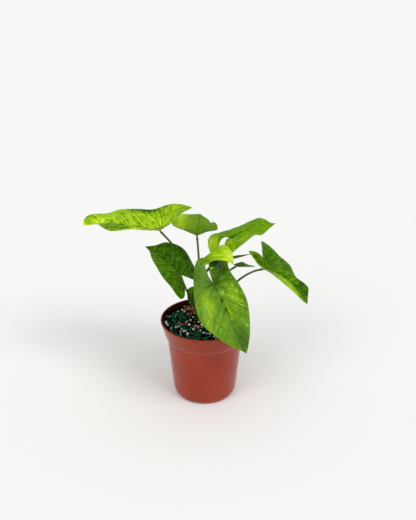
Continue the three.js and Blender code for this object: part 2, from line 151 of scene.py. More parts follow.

# Each blade is drawn in its own frame, as in the solids: x runs from the stalk to the tip, y to the left
# of it, z up from the face.
#   at                    top of the stalk; heading, pitch and roll turn the frame there, in degrees
#   fold                  how steeply the two halves rise from the midrib
#   bend                  how late on its way out the blade takes the height of its edge: 1 is a straight
#                         way, above 1 it bends near the edge, below 1 near the stalk
#   bow                   how far the blade arches between stalk and tip: forward, and up
#   lobe                  bend and upward bow of the lobes, where they have their own
#   left, right           points of the edge, from the tip to the notch
#   foot, via             of the stalk: degrees round the crown, and the two points that steer its curve
#   tone                  green of the whole blade, from 0, nearly black, to 1, yellow
#   tone_and_light_patches  soft stretches (x, y, length, width, step) that are a step lighter or darker:
#   mostly the blade's own tone, at some leaves painted sheen and painted shade, noted there
#   quilt                 how strong its relief is, 1 where not given
#   lengthwise            its streaks run along the blade, not along the side veins
LEAVES = {
    "upper_left": dict(
        at=(-51, 6, 212.5), heading=170, pitch=6, roll=0, fold=0.15, bend=1.15, bow=(0, 4),
        lobe=(0.7, 0), tip=(91.9, 0, -10),
        left=[(82, 4, -6), (72, 10, -1), (61, 22, 1), (49, 31, 3), (33, 33, 9), (15, 33, 12),
              (2, 32, 15), (-13, 25, 20), (-20, 19, 24), (-24, 12, 29)],
        right=[(92.9, -6, -6), (88, -15, -2), (70, -28, -2), (58, -35, 2), (37, -36, 6), (18, -35, 9),
               (-1, -31, 20), (-16, -24, 26), (-32, -14, 28), (-20, -10, 25)],
        foot=162, via=[(0, 20, 144), (-24, 30, 168)],
        finish="light", tone=0.69,
        # painted: (48, 18) darkens the drooping near half and (92, -8) the bent-down tip flap as painted
        # shade, and (72, -2) is a painted sheen spot
        tone_and_light_patches=[(55, -14, 24, 12, 0.10), (48, 18, 26, 10, -0.24), (92, -8, 12, 18, -0.02),
                 (8, -22, 16, 12, 0.02), (24, 27, 18, 6, 0.24), (24, -34, 20, 6, -0.5),
                 (72, -2, 6, 4, 0.2)]),
    "upper_middle": dict(
        at=(-9, 20, 200), heading=87, pitch=4, roll=0, fold=0.3, bend=1.6, bow=(0, 0), lobe=(0.6, 2.5),
        tip=(60, 0, -1),
        left=[(50, 12, 3), (32, 21, 12), (14, 27, 16), (-2, 29, 16), (-11, 24, 16), (-18, 15, 16)],
        right=[(51, -5, 0), (41, -11, 1), (28, -15, 3), (14, -19, 11), (2, -23, 14), (-8, -24, 12),
               (-16, -15, 16)],
        foot=128, via=[(-6, 22, 130), (-6, 21, 168)],
        finish="thin", tone=0.55,
        tone_and_light_patches=[(22, 22, 30, 9, 0.32), (-6, 24, 14, 8, 0.08), (4, -4, 10, 8, -0.08),
                 (-10, -20, 8, 8, -0.10)]),
    "dark_left": dict(
        at=(-26.5, -14, 164.5), heading=160, pitch=54, roll=-13, fold=0.1, bend=2, bow=(0, 0),
        tip=(49, -3, -26),
        left=[(43, 4, -17), (36, 13, -11), (27, 20, -5), (13, 25, -1), (-2, 24, 0), (-12, 25, 1),
              (-19, 24, 2), (-20, 17, 2), (-13, 7, 1)],
        right=[(44, -7, -15), (40, -16, -7), (29, -23, 0), (17, -27, 1), (1, -26, 0), (-9, -25, 0),
               (-17, -26, 0), (-24, -20, -1)],
        foot=230, via=[(-10, -3, 118), (-21, -12, 140)],
        finish="dark", tone=0.34, quilt=1.5,
        # painted: (27, 10) is a faint painted sheen
        tone_and_light_patches=[(-15, -20, 10, 9, 0.10), (-14, 17, 11, 9, 0.12), (27, 10, 12, 7, 0.05),
                 (6, -20, 16, 7, -0.12), (30, -20, 16, 8, -0.16), (16, -3, 18, 6, -0.14)]),
    "front": dict(
        at=(11.5, -32, 161), heading=-54, pitch=-44, roll=-16, fold=0.14, bend=2, bow=(0, 0),
        tip=(85, 2, -3),
        left=[(77, 9, -1), (62, 18, 3), (40, 27, 7), (24, 31, 8), (6, 31, 7), (-8, 30, 5), (-18, 33, 3),
              (-28, 38, 2), (-37, 30, 1), (-35, 12, 1), (-17, 2, 0)],
        right=[(80, -4, -3), (74, -12, -4), (63, -23, -5), (50, -34, -5), (40, -42.8, -3), (28, -46, 0),
               (15, -45, 3), (0, -41, 7), (-15, -35, 11), (-28, -24, 13), (-31, -11, 12)],
        foot=304, via=[(9, -5, 120), (9, -19, 148)],
        finish="glossy", tone=0.48, quilt=2.1,
        # painted: (-4, 0) is painted shade in the sinus, (-24, 17) a painted shadow that the young leaf
        # above casts on the lobe, and (20, -26), (18, 17) and (32, 3) are painted sheen beside the midrib
        tone_and_light_patches=[(-14, -34, 18, 12, -0.10), (-4, 0, 9, 8, -0.24), (-24, 17, 16, 11, -0.32),
                 (68, 6, 14, 10, -0.22), (20, -26, 13, 9, 0.26), (18, 17, 12, 7, 0.22),
                 (32, 3, 10, 3, 0.18), (48, -34, 26, 5, 0.16), (40, -14, 14, 8, 0.06)]),
    "upper_right": dict(
        at=(30.5, 24, 195), heading=38, pitch=12, roll=0, fold=0.12, bend=2.6, bow=(0, 0), lobe=(6, 4),
        tip=(70, -1, -14),
        left=[(65, 3, -12), (61, 10, -7), (56, 18, -7), (42, 25, -13), (25, 28, -11), (5, 27, -5),
              (-11, 24, 0), (-21, 18, -3), (-23, 12, -15), (-14, 7, -9)],
        right=[(57, -5, -13), (36, -14, -9), (22, -19, 0), (2, -26, 3), (-10, -27, 2), (-16, -22, -4),
               (-17, -17, -9), (-17, -11, -5), (-16, -7, -2)],
        foot=56, via=[(9, 25, 130), (28, 31, 168)],
        finish="satin", tone=0.54, quilt=0.4, lengthwise=True,
        # (-18, 16) lightens the curled lobe: pale streaks of its own, and in part painted light where it
        # is lit from behind
        tone_and_light_patches=[(-18, 16, 10, 10, 0.42), (12, -18, 20, 7, 0.12), (2, 0, 6, 4, -0.2),
                 (45, 16, 18, 8, -0.08), (-17, -12, 6, 8, 0.18)]),
    "young": dict(
        at=(-2.5, -20, 184), heading=10, pitch=0, roll=35, fold=0.1, bend=1, bow=(2, 6),
        tip=(36, -4, -2),
        left=[(37, 5, -3), (36, 15, -3), (28, 21, 0), (18, 16, 1), (8, 9, 1), (0, 4, 0)],
        right=[(34, -3, -3), (30, 2, -3), (21, 4, -2), (13, 1, -1), (5, -3, -1), (1, -4, -1)],
        foot=266, via=[(-2, -2, 130), (-8, -14, 167)],
        finish="young", tone=0.75, quilt=0.6, lengthwise=True,
        tone_and_light_patches=[(35, 4, 8, 14, 0.22), (2, 0, 10, 8, -0.2), (14, 12, 14, 5, -0.08)]),
    "right": dict(
        at=(70, 4, 164.5), heading=-20, pitch=-27, roll=0, fold=0.2, bend=1.4, bow=(0, 8),
        tip=(65, 0, -9),
        left=[(60.8, 5, -3), (55.6, 13, 3), (48, 17, 1), (36, 25, 0), (23, 30, 6), (6, 32, 8),
              (-4, 30, 12), (-15, 25, 16), (-20, 18, 18), (-10, 10, 14)],
        right=[(58, -6, -5), (41, -17, 5), (23, -26, 13), (12, -29, 16), (-3, -28, 17), (-16, -24, 18),
               (-25, -17, 18), (-16, -11, 19), (-6, -4, 13)],
        foot=348, via=[(20, 7, 136), (50, 4, 163)],
        finish="mid", tone=0.40, quilt=2.0,
        # painted: (-18, -14) is a painted sheen on the small lobe
        tone_and_light_patches=[(30, -15, 42, 11, 0.38), (-18, -14, 12, 11, 0.12), (54, 6, 14, 8, -0.14),
                 (-6, 18, 16, 9, -0.06)]),
    "small_right": dict(
        at=(37.5, 20, 160.5), heading=4, pitch=-2, roll=-22, fold=0.1, bend=1.5, bow=(0, 0),
        tip=(23, 0, -1),
        left=[(20, 5, 0), (15, 8, 1), (9, 9, 4), (3, 8, 3), (-3, 5, 1)],
        right=[(18, -4, -1), (8, -6, -1), (1, -5, -1), (-3, -3, -1)],
        foot=22, via=[(12, 13, 130), (22, 17, 155)],
        finish="mid", tone=0.36,
        tone_and_light_patches=[(4, 0, 6, 6, -0.1)]),
    "small_crown": dict(
        at=(-8.5, 3, 123.5), heading=180, pitch=46, roll=-60, fold=-0.3, bend=1.5, bow=(0, 0),
        tip=(18, 0, 0),
        left=[(14, 4, 0), (9, 8, 0), (3, 10, 0), (-3, 9, 0), (-6, 5, 0)],
        right=[(17, -5, 0), (14, -9, 0), (10, -13, 0), (3, -15, 0), (-3, -12, 0), (-6, -7, 0)],
        foot=196, via=[(-11, 6, 105), (-10, 4, 114)],
        finish="mottled", tone=0.28,
        tone_and_light_patches=[(13, -6, 8, 9, 0.18), (4, 3, 7, 5, -0.16)]),
}
ROLLED_LEAF = dict(foot=92, via=[(-12, 13, 168), (10, 12, 170)], end=(55, 14, 178.5))

# The greens that a tone runs through, from a shaded old blade to a new one.
GREENS = [
    (0.00, "#143404"), (0.20, "#275007"), (0.35, "#3E6B08"), (0.50, "#5E8E0A"),
    (0.62, "#7BA40E"), (0.75, "#9AC118"), (0.88, "#B8DC24"), (1.00, "#DAF052"),
]

# How the blades of one age look.
#   side, rib             how much paler the side veins and the midrib are than the blade
#   streaks, flecks       how strong the pale streaks along the veins and the cloudy flecks are
#   roughness, gloss      of the cuticle: a young blade is dull, a full-grown one shines as if waxed
#   ripples               how strong the fine relief is, against a depth of 0.35 mm
#   fleck_scale           flecks to the mm, where they aren't the usual size
FLECK_SCALE = 0.24
FINISHES = {
    "light": dict(slot="leaf_light", side=0.20, rib=0.16, streaks=1.1, flecks=0.7, roughness=0.40,
                  gloss=0.04, ripples=0.6),
    "satin": dict(slot="leaf_light", side=0.04, rib=-0.10, streaks=0.8, flecks=0.4, roughness=0.38,
                  gloss=0.04, ripples=0.6),
    "thin": dict(slot="leaf_mid", side=-0.04, rib=-0.06, streaks=0.4, flecks=0.3, roughness=0.36,
                 gloss=0.04, ripples=0.6),
    "glossy": dict(slot="leaf_mid", side=-0.08, rib=-0.2, streaks=0.2, flecks=0.3, roughness=0.24,
                   gloss=0.9, ripples=0.1),
    "mid": dict(slot="leaf_mid", side=0.12, rib=-0.08, streaks=0.8, flecks=0.4, roughness=0.30,
                gloss=0.08, ripples=0.6),
    "dark": dict(slot="leaf_dark", side=0.12, rib=0.02, streaks=0.7, flecks=0.5, roughness=0.26,
                 gloss=0.15, ripples=0.35),
    "mottled": dict(slot="leaf_dark", side=0.16, rib=-0.06, streaks=0.5, flecks=2.2, roughness=0.34,
                    gloss=0.05, ripples=0.5, fleck_scale=0.75),
    "young": dict(slot="leaf_young", side=0.02, rib=0.06, streaks=0.9, flecks=0.25, roughness=0.40,
                  gloss=0.05, ripples=0.6),
}

# ---------------------------------------------------------------- camera, light and floor

VIEW_TARGET = Vector((0.004, 0, 0.1773))
VIEW_DISTANCE = 0.9
VIEW_ELEVATION = 25.1
LENS = 53.65
SENSOR = 36

# name, where it stands, strength, and how wide it is in the sky, in degrees
SUNS = [("key", (-0.5, -0.6, 0.62), 0.82, 40), ("window", (0.50, -0.46, 0.72), 1.04, 25)]
ROOM_LIGHT = 0.58


def place_camera():
    """above level, square to the pot, far enough away to hold the whole plant"""
    data = bpy.data.cameras.new("camera")
    data.lens = LENS
    data.sensor_width = SENSOR
    data.clip_start = 0.01
    data.clip_end = 100
    camera = bpy.data.objects.new("camera", data)
    tilt = math.radians(VIEW_ELEVATION)
    back = Vector((0, -math.cos(tilt), math.sin(tilt)))
    camera.location = VIEW_TARGET + back * VIEW_DISTANCE
    camera.rotation_euler = (math.pi / 2 - tilt, 0, 0)
    bpy.context.scene.collection.objects.link(camera)
    bpy.context.scene.camera = camera


def place_lights():
    """a broad key from the upper left, a window from the upper right and an even, pale room"""
    for name, source, energy, angle in SUNS:
        data = bpy.data.lights.new(name, "SUN")
        data.energy = energy
        data.angle = math.radians(angle)
        sun = bpy.data.objects.new(name, data)
        sun.location = source
        sun.rotation_euler = Vector(source).to_track_quat("Z", "Y").to_euler()
        bpy.context.scene.collection.objects.link(sun)
    world = bpy.data.worlds.new("studio")
    world.use_nodes = True
    background = world.node_tree.nodes["Background"]
    background.inputs["Color"].default_value = (1, 1, 1, 1)
    background.inputs["Strength"].default_value = ROOM_LIGHT
    bpy.context.scene.world = world
    bpy.context.scene.view_settings.view_transform = "Standard"


# ---------------------------------------------------------------- helpers for materials and meshes


def linear(code):
    """an sRGB hex colour as the linear RGBA that a socket takes"""
    channels = [int(code[i:i + 2], 16) / 255 for i in (1, 3, 5)]
    return (*[c / 12.92 if c <= 0.04045 else ((c + 0.055) / 1.055) ** 2.4 for c in channels], 1)


def add(tree, kind, feeds=None, stops=(), **settings):
    """Adds a node. `feeds` maps an input's name or number to a value, or to the output that feeds it. Map
    Range takes its value at 0, reads from 1 to 2 and makes 3 to 4. Mix takes its factor at 0 and its
    colours at 6 and 7. `stops` are a colour ramp's (place, hex colour) pairs."""
    made = tree.nodes.new(kind)
    for key, value in settings.items():
        setattr(made, key, value)
    for key, value in (feeds or {}).items():
        if isinstance(value, bpy.types.NodeSocket):
            tree.links.new(value, made.inputs[key])
        else:
            made.inputs[key].default_value = value
    if stops:
        elements = made.color_ramp.elements
        while len(elements) < len(stops):
            elements.new(1)
        for element, (place, code) in zip(elements, stops):
            element.position = place
            element.color = linear(code)
    return made


def new_tree(name, result, *inputs):
    """a Geometry Nodes group with one geometry output, and what comes in by the (kind, names) inputs"""
    tree = bpy.data.node_groups.new(name, "GeometryNodeTree")
    for kind, names in inputs:
        for socket in names:
            tree.interface.new_socket(socket, in_out="INPUT", socket_type="NodeSocket" + kind)
    tree.interface.new_socket(result, in_out="OUTPUT", socket_type="NodeSocketGeometry")
    return tree, add(tree, "NodeGroupInput").outputs


def new_material(name, roughness, ior, **sockets):
    """a material's node tree and its shader, with what is the same all over set on the shader"""
    material = bpy.data.materials.new(name)
    material.use_nodes = True
    shader = material.node_tree.nodes["Principled BSDF"]
    shader.inputs["Roughness"].default_value = roughness
    shader.inputs["IOR"].default_value = ior
    for key, value in sockets.items():
        shader.inputs[key.replace("_", " ")].default_value = value
    return material, material.node_tree, shader


def make_object(name, points, faces, material, smooth_below=50):
    """a mesh object at the origin from points in mm"""
    mesh = bpy.data.meshes.new(name)
    mesh.from_pydata((np.asarray(points) * MM).tolist(), [], faces)
    mesh.validate()
    mesh.materials.append(material)
    mesh.shade_smooth()
    mesh.set_sharp_from_angle(angle=math.radians(smooth_below))
    made = bpy.data.objects.new(name, mesh)
    bpy.context.scene.collection.objects.link(made)
    return made


def store(mesh, name, kind, values):
    """keeps one value or vector for each point of the mesh under a name"""
    made = mesh.attributes.new(name, kind, "POINT")
    part = "value" if kind == "FLOAT" else "vector"
    made.data.foreach_set(part, np.asarray(values, np.float32).ravel())


def as_mesh(source, name):
    """the evaluated object as a plain mesh object of that name; the source goes"""
    bpy.context.view_layer.update()
    graph = bpy.context.evaluated_depsgraph_get()
    mesh = bpy.data.meshes.new_from_object(source.evaluated_get(graph), depsgraph=graph)
    mesh.name = name
    made = bpy.data.objects.new(name, mesh)
    bpy.context.scene.collection.objects.link(made)
    bpy.data.objects.remove(source)
    return made


def finish_piece(piece, slot, *nodes):
    """puts a piece on the one body and hides the solids that it stands for; the slot is not used"""
    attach(piece, "root")
    if nodes:
        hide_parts(*nodes)


# ---------------------------------------------------------------- materials


# Light goes about a millimetre into green tissue, and its green part farthest.
FLESH = dict(Subsurface_Weight=0.1, Subsurface_Radius=(0.4, 1.0, 0.1), Subsurface_Scale=MM)


def pot_plastic():
    """Injection-moulded polypropylene, terracotta coloured: an even brick red with a wet-looking gloss,
    faint flow clouds 35 mm across, dusty smears of 14 mm and a skin that is uneven every 1.5 mm."""
    material, tree, shader = new_material("moulded_polypropylene", 0.22, 1.49, Specular_IOR_Level=0.35,
                                          Specular_Tint=linear("#F2C8B8"))
    place = add(tree, "ShaderNodeTexCoord").outputs["Object"]
    clouds = add(tree, "ShaderNodeTexNoise", {"Vector": place, "Scale": 28, "Detail": 3})
    smears = add(tree, "ShaderNodeTexNoise",
                 {"Vector": place, "Scale": 70, "Detail": 6, "Roughness": 0.6})
    red = add(tree, "ShaderNodeValToRGB", {0: clouds.outputs["Fac"]},
              [(0.3, "#8F311E"), (0.7, "#9B3B27")])
    dust = add(tree, "ShaderNodeMapRange", {0: smears.outputs["Fac"], 1: 0.56, 2: 0.8, 3: 0, 4: 0.06})
    dusty = add(tree, "ShaderNodeMix", {0: dust.outputs[0], 6: red.outputs[0], 7: linear("#A8776A")},
                data_type="RGBA")
    # painted shade: the inner wall is darkened towards near black
    painted_inner_shade = add(tree, "ShaderNodeAttribute", attribute_name="painted_inner_shade")
    inner_shaded = add(tree, "ShaderNodeMix",
                 {0: painted_inner_shade.outputs["Fac"], 6: dusty.outputs[2], 7: linear("#160204")}, data_type="RGBA")
    tree.links.new(inner_shaded.outputs[2], shader.inputs["Base Color"])
    gloss = add(tree, "ShaderNodeMapRange", {0: smears.outputs["Fac"], 1: 0.3, 2: 0.75, 3: 0.14, 4: 0.34})
    tree.links.new(gloss.outputs[0], shader.inputs["Roughness"])
    skin = add(tree, "ShaderNodeTexNoise", {"Vector": place, "Scale": 700, "Detail": 2})
    bump = add(tree, "ShaderNodeBump",
               {"Height": skin.outputs["Fac"], "Strength": 0.1, "Distance": 0.0001})
    tree.links.new(bump.outputs[0], shader.inputs["Normal"])
    return material


def blade_cuticle(name, look):
    """A living aroid blade under its waxy cuticle: tone runs from deep green to lime, paler along the
    veins, with streaks that follow them, and a dull, paler underside. The wax has soft, greenish
    sheens."""
    material, tree, shader = new_material(name, look["roughness"], 1.45, Specular_IOR_Level=look["gloss"],
                                          Specular_Tint=linear("#D8F088"), **FLESH)
    vein = add(tree, "ShaderNodeSeparateXYZ",
               {0: add(tree, "ShaderNodeAttribute", attribute_name="vein").outputs["Vector"]})
    plan = add(tree, "ShaderNodeAttribute", attribute_name="plan").outputs["Vector"]
    across = add(tree, "ShaderNodeSeparateXYZ", {0: plan})
    # the tone holds the blade's own green and also the painted sheen and painted shade of some of its
    # patches
    tone = add(tree, "ShaderNodeAttribute", attribute_name="tone")
    under = add(tree, "ShaderNodeAttribute", attribute_name="under")

    # distance in mm from the nearest side vein, and from the midrib: each is pale over about a millimetre
    wave = add(tree, "ShaderNodeMath", {0: vein.outputs[0], 1: 0.5}, operation="PINGPONG")
    aside = add(tree, "ShaderNodeMath", {0: wave.outputs[0], 1: vein.outputs[2]}, operation="MULTIPLY")
    side = add(tree, "ShaderNodeMapRange", {0: aside.outputs[0], 1: 0.1, 2: 1.1, 3: 1, 4: 0},
               interpolation_type="SMOOTHSTEP")
    from_rib = add(tree, "ShaderNodeMath", {0: across.outputs[1]}, operation="ABSOLUTE")
    rib = add(tree, "ShaderNodeMapRange", {0: from_rib.outputs[0], 1: 0.2, 2: 1.2, 3: 1, 4: 0},
              interpolation_type="SMOOTHSTEP")

    # streaks lie along the veins, fine across them and long along them, and flecks are clouds of 4 mm
    along = add(tree, "ShaderNodeAttribute", attribute_name="streak")
    streaks = add(tree, "ShaderNodeTexNoise",
                  {"Vector": along.outputs["Vector"], "Scale": 1, "Detail": 4, "Roughness": 0.62})
    flecks = add(tree, "ShaderNodeTexNoise",
                 {"Vector": plan, "Scale": look.get("fleck_scale", FLECK_SCALE), "Detail": 5,
                  "Roughness": 0.65})
    total = add(tree, "ShaderNodeMath",
                {0: tone.outputs["Fac"], 1: (look["streaks"] + look["flecks"]) / 2}, operation="SUBTRACT")
    for mask, gain in ((side, look["side"]), (rib, look["rib"]), (streaks, look["streaks"]),
                       (flecks, look["flecks"])):
        total = add(tree, "ShaderNodeMath", {0: mask.outputs[0], 1: gain, 2: total.outputs[0]},
                    operation="MULTIPLY_ADD")
    green = add(tree, "ShaderNodeValToRGB", {0: total.outputs[0]}, GREENS).outputs[0]
    pale = add(tree, "ShaderNodeMix", {0: 0.4, 6: green, 7: linear("#86A04C")}, data_type="RGBA")
    colour = add(tree, "ShaderNodeMix", {0: under.outputs["Fac"], 6: green, 7: pale.outputs[2]},
                 data_type="RGBA")
    tree.links.new(colour.outputs[2], shader.inputs["Base Color"])

    gloss = add(tree, "ShaderNodeMapRange",
                {0: flecks.outputs["Fac"], 1: 0.3, 2: 0.7, 3: look["roughness"] - 0.06,
                 4: look["roughness"] + 0.08})
    dull = add(tree, "ShaderNodeMath", {0: under.outputs["Fac"], 1: 0.25, 2: gloss.outputs[0]},
               operation="MULTIPLY_ADD")
    tree.links.new(dull.outputs[0], shader.inputs["Roughness"])

    # ripples between the side veins, four to a space, and the cells of the skin, drawn 1.5 mm wide so
    # that they show
    count = add(tree, "ShaderNodeMath", {0: vein.outputs[0], 1: 8 * math.pi}, operation="MULTIPLY")
    ripple = add(tree, "ShaderNodeMath", {0: count.outputs[0]}, operation="SINE")
    cells = add(tree, "ShaderNodeTexVoronoi", {"Vector": plan, "Scale": 0.7}, feature="DISTANCE_TO_EDGE")
    height = add(tree, "ShaderNodeMath",
                 {0: streaks.outputs["Fac"], 1: 2.5, 2: cells.outputs["Distance"]},
                 operation="MULTIPLY_ADD")
    rippled = add(tree, "ShaderNodeMath", {0: ripple.outputs[0], 1: 0.22, 2: height.outputs[0]},
                  operation="MULTIPLY_ADD")
    bump = add(tree, "ShaderNodeBump",
               {"Height": rippled.outputs[0], "Strength": look["ripples"], "Distance": 0.00035})
    tree.links.new(bump.outputs[0], shader.inputs["Normal"])
    return material


def stalk_skin():
    """A petiole's smooth green skin: dark olive from the sheath up, paler near the blade, with cloudy
    flecks of 4 mm and eight fine ridges along it."""
    material, tree, shader = new_material("petiole_epidermis", 0.42, 1.42, Specular_IOR_Level=0.2,
                                          **FLESH)
    share = add(tree, "ShaderNodeAttribute", attribute_name="share")
    around = add(tree, "ShaderNodeAttribute", attribute_name="around")
    place = add(tree, "ShaderNodeTexCoord").outputs["Object"]
    flecks = add(tree, "ShaderNodeTexNoise", {"Vector": place, "Scale": 260, "Detail": 3})
    mixed = add(tree, "ShaderNodeMath", {0: flecks.outputs["Fac"], 1: 0.3, 2: share.outputs["Fac"]},
                operation="MULTIPLY_ADD")
    olive = add(tree, "ShaderNodeValToRGB", {0: mixed.outputs[0]},
                [(0.1, "#6A7230"), (0.35, "#444A12"), (0.85, "#3A410D"), (1.0, "#5A6A16")])
    tree.links.new(olive.outputs[0], shader.inputs["Base Color"])
    ridges = add(tree, "ShaderNodeMath", {0: around.outputs["Fac"], 1: 50}, operation="MULTIPLY")
    wave = add(tree, "ShaderNodeMath", {0: ridges.outputs[0]}, operation="SINE")
    bump = add(tree, "ShaderNodeBump", {"Height": wave.outputs[0], "Strength": 0.25, "Distance": 0.0001})
    tree.links.new(bump.outputs[0], shader.inputs["Normal"])
    return material


def grain_material(name, stops, roughness, scale, gloss, bump_height=0.0004):
    """a loose grain: its colours follow a noise of `scale` to the metre, which is also its relief"""
    material, tree, shader = new_material(name, roughness, 1.45, Specular_IOR_Level=gloss)
    place = add(tree, "ShaderNodeTexCoord").outputs["Object"]
    clumps = add(tree, "ShaderNodeTexNoise",
                 {"Vector": place, "Scale": scale, "Detail": 6, "Roughness": 0.65})
    colour = add(tree, "ShaderNodeValToRGB", {0: clumps.outputs["Fac"]}, stops)
    tree.links.new(colour.outputs[0], shader.inputs["Base Color"])
    bump = add(tree, "ShaderNodeBump",
               {"Height": clumps.outputs["Fac"], "Strength": 0.6, "Distance": bump_height})
    tree.links.new(bump.outputs[0], shader.inputs["Normal"])
    return material


def floor_paint():
    """Matt white emulsion, rolled on: even and without a shine, so that it only takes soft shadows."""
    material, _, shader = new_material("matt_white_paint", 0.9, 1.45, Specular_IOR_Level=0.1)
    shader.inputs["Base Color"].default_value = linear("#FAFAF9")
    return material


# ---------------------------------------------------------------- pot


def rounded(corners, steps=5):
    """a profile of (radius, z, rounding) corners, each rounded over its own length on both sides"""
    points = []
    for k, (r, z, cut) in enumerate(corners):
        here = np.array([r, z], float)
        if cut == 0:
            points.append(here)
            continue
        ends = []
        for other in (corners[k - 1], corners[k + 1]):
            way = np.array(other[:2], float) - here
            ends.append(here + way * min(0.45, cut / np.linalg.norm(way)))
        for s in range(steps + 1):
            t = s / steps
            points.append((1 - t) ** 2 * ends[0] + 2 * t * (1 - t) * here + t * t * ends[1])
    return np.array(points)


def lathe(profile, sides):
    """points and faces of a closed solid turned from a profile that starts and ends on the axis"""
    inner = profile[1:-1]
    turn = np.linspace(0, 2 * np.pi, sides, endpoint=False)
    ring = np.stack([np.cos(turn), np.sin(turn)], 1)
    points = [[0, 0, profile[0][1]]]
    for r, z in inner:
        points += np.column_stack([ring * r, np.full(sides, z)]).tolist()
    points.append([0, 0, profile[-1][1]])
    last = len(points) - 1
    faces = []
    for s in range(sides):
        n = (s + 1) % sides
        faces.append((0, 1 + n, 1 + s))
        for k in range(len(inner) - 1):
            a = 1 + k * sides
            faces.append((a + s, a + n, a + sides + n, a + sides + s))
        top = 1 + (len(inner) - 1) * sides
        faces.append((last, top + s, top + n))
    return np.array(points), faces


def notch_height(x, y):
    """height of the arched opening in the foot ring at a place on it, 0 between the openings"""
    arch = (NOTCH_WIDTH ** 2 / 4 + NOTCH_HEIGHT ** 2) / (2 * NOTCH_HEIGHT)
    turn = np.degrees(np.arctan2(y, x)) - FIRST_NOTCH
    off = (turn + 180 / NOTCHES) % (360 / NOTCHES) - 180 / NOTCHES
    across = np.hypot(x, y) * np.sin(np.radians(off))
    return np.maximum(0, NOTCH_HEIGHT - arch + np.sqrt(np.maximum(0, arch ** 2 - across ** 2)))


def make_pot():
    """one turned shell, open at the top, with arches lifted into its foot ring and drain holes drilled"""
    ring = FOOT_RADIUS - FOOT_RING_WIDTH
    outer = [
        (0, 0, 0), (PAD_RADIUS, 0, 0.5), (PAD_RADIUS + 1.5, RECESS, 0.5), (ring - 1.2, RECESS, 0.6),
        (ring, 0, 0.4), (FOOT_RADIUS, 0, 0.6), (HEEL_RADIUS, HEEL_Z, 1.6),
        (BODY_FOOT_RADIUS, BODY_FOOT_Z, 3),
        (BODY_TOP_RADIUS, SHOULDER_Z, 0.9), (BAND_FOOT_RADIUS, BAND_Z, 1.0),
        (RIM_RADIUS - 0.75, POT_HEIGHT - 2.6, 0.3), (RIM_RADIUS, POT_HEIGHT - 2.0, 0.4),
        (RIM_RADIUS, POT_HEIGHT, 0.9), (RIM_RADIUS - LIP, POT_HEIGHT, 0.7),
    ]
    inner = [
        (RIM_RADIUS - LIP - 0.3, POT_HEIGHT - 2, 0.5), (BAND_FOOT_RADIUS - WALL, BAND_Z - 0.5, 1.0),
        (BODY_TOP_RADIUS - WALL, SHOULDER_Z - 0.3, 0.9), (BODY_FOOT_RADIUS - WALL, BODY_FOOT_Z, 2),
        (HEEL_RADIUS - WALL - 0.4, FLOOR_Z + 1, 1), (HEEL_RADIUS - WALL - 2, FLOOR_Z, 0.6),
        (0, FLOOR_Z, 0),
    ]
    profile = rounded(outer + inner)
    points, faces = lathe(profile, POT_SIDES)

    # the foot ring is lifted to the arches, and slides out along the heel as it rises
    reach = np.hypot(points[:, 0], points[:, 1])
    lift = notch_height(points[:, 0], points[:, 1])
    moved = (reach > ring - 0.7) & (points[:, 2] < HEEL_Z - 0.5) & (points[:, 2] < lift)
    rise = np.where(moved, lift - points[:, 2], 0)
    slope = (HEEL_RADIUS - FOOT_RADIUS) / HEEL_Z
    grow = np.where(moved & (reach > FOOT_RADIUS - 0.8), rise * slope / np.maximum(reach, 1), 0)
    points[:, 2] += rise
    points[:, :2] *= (1 + grow)[:, None]

    pot = make_object("pot_draft", points, faces, MATERIALS["pot"], POT_CREASE)
    drills = []
    for k in range(DRAIN_HOLES):
        turn = math.radians(FIRST_NOTCH + (k + 0.5) * 360 / DRAIN_HOLES)
        bpy.ops.mesh.primitive_cylinder_add(
            vertices=48, radius=DRAIN_RADIUS * MM, depth=3 * FLOOR * MM,
            location=(DRAIN_CIRCLE * math.cos(turn) * MM, DRAIN_CIRCLE * math.sin(turn) * MM,
                      (RECESS + FLOOR / 2) * MM))
        drill = bpy.context.object
        cut = pot.modifiers.new("drain", "BOOLEAN")
        cut.operation = "DIFFERENCE"
        cut.solver = "EXACT"
        cut.object = drill
        drills.append(drill)
    pot = as_mesh(pot, "pot_shell")
    for drill in drills:
        bpy.data.objects.remove(drill)
    pot.data.set_sharp_from_angle(angle=math.radians(POT_CREASE))

    # the inner wall is painted dark as painted shade, evenly from the floor to just under the rim
    co = np.zeros(len(pot.data.vertices) * 3)
    pot.data.vertices.foreach_get("co", co)
    co = co.reshape(-1, 3) / MM
    reach = np.hypot(co[:, 0], co[:, 1])
    outer_reach = np.interp(
        co[:, 2], [0, HEEL_Z, BODY_FOOT_Z, SHOULDER_Z, BAND_Z, POT_HEIGHT],
        [FOOT_RADIUS, HEEL_RADIUS, BODY_FOOT_RADIUS, BODY_TOP_RADIUS, BAND_FOOT_RADIUS, RIM_RADIUS])
    inside = reach < outer_reach - 0.6 * WALL
    inside &= (co[:, 2] > FLOOR_Z - 0.1) & (co[:, 2] < POT_HEIGHT - 0.5)
    store(pot.data, "painted_inner_shade", "FLOAT", np.where(inside, PAINTED_INNER_SHADE, 0))
    finish_piece(pot, "pot", "pot")


# ---------------------------------------------------------------- potting mix


def mix_height(x, y):
    """height of the mix's surface: a low mound with small bumps that die out at the wall"""
    out = min(1, math.hypot(x, y) / MIX_EDGE_RADIUS)
    bumps = math.sin(0.31 * x + 1.3) * math.cos(0.27 * y) + 0.6 * math.sin(0.55 * x - 0.43 * y)
    return MIX_EDGE_Z + MIX_MOUND * (1 - out * out) + MIX_BUMP * bumps * (1 - out ** 4)


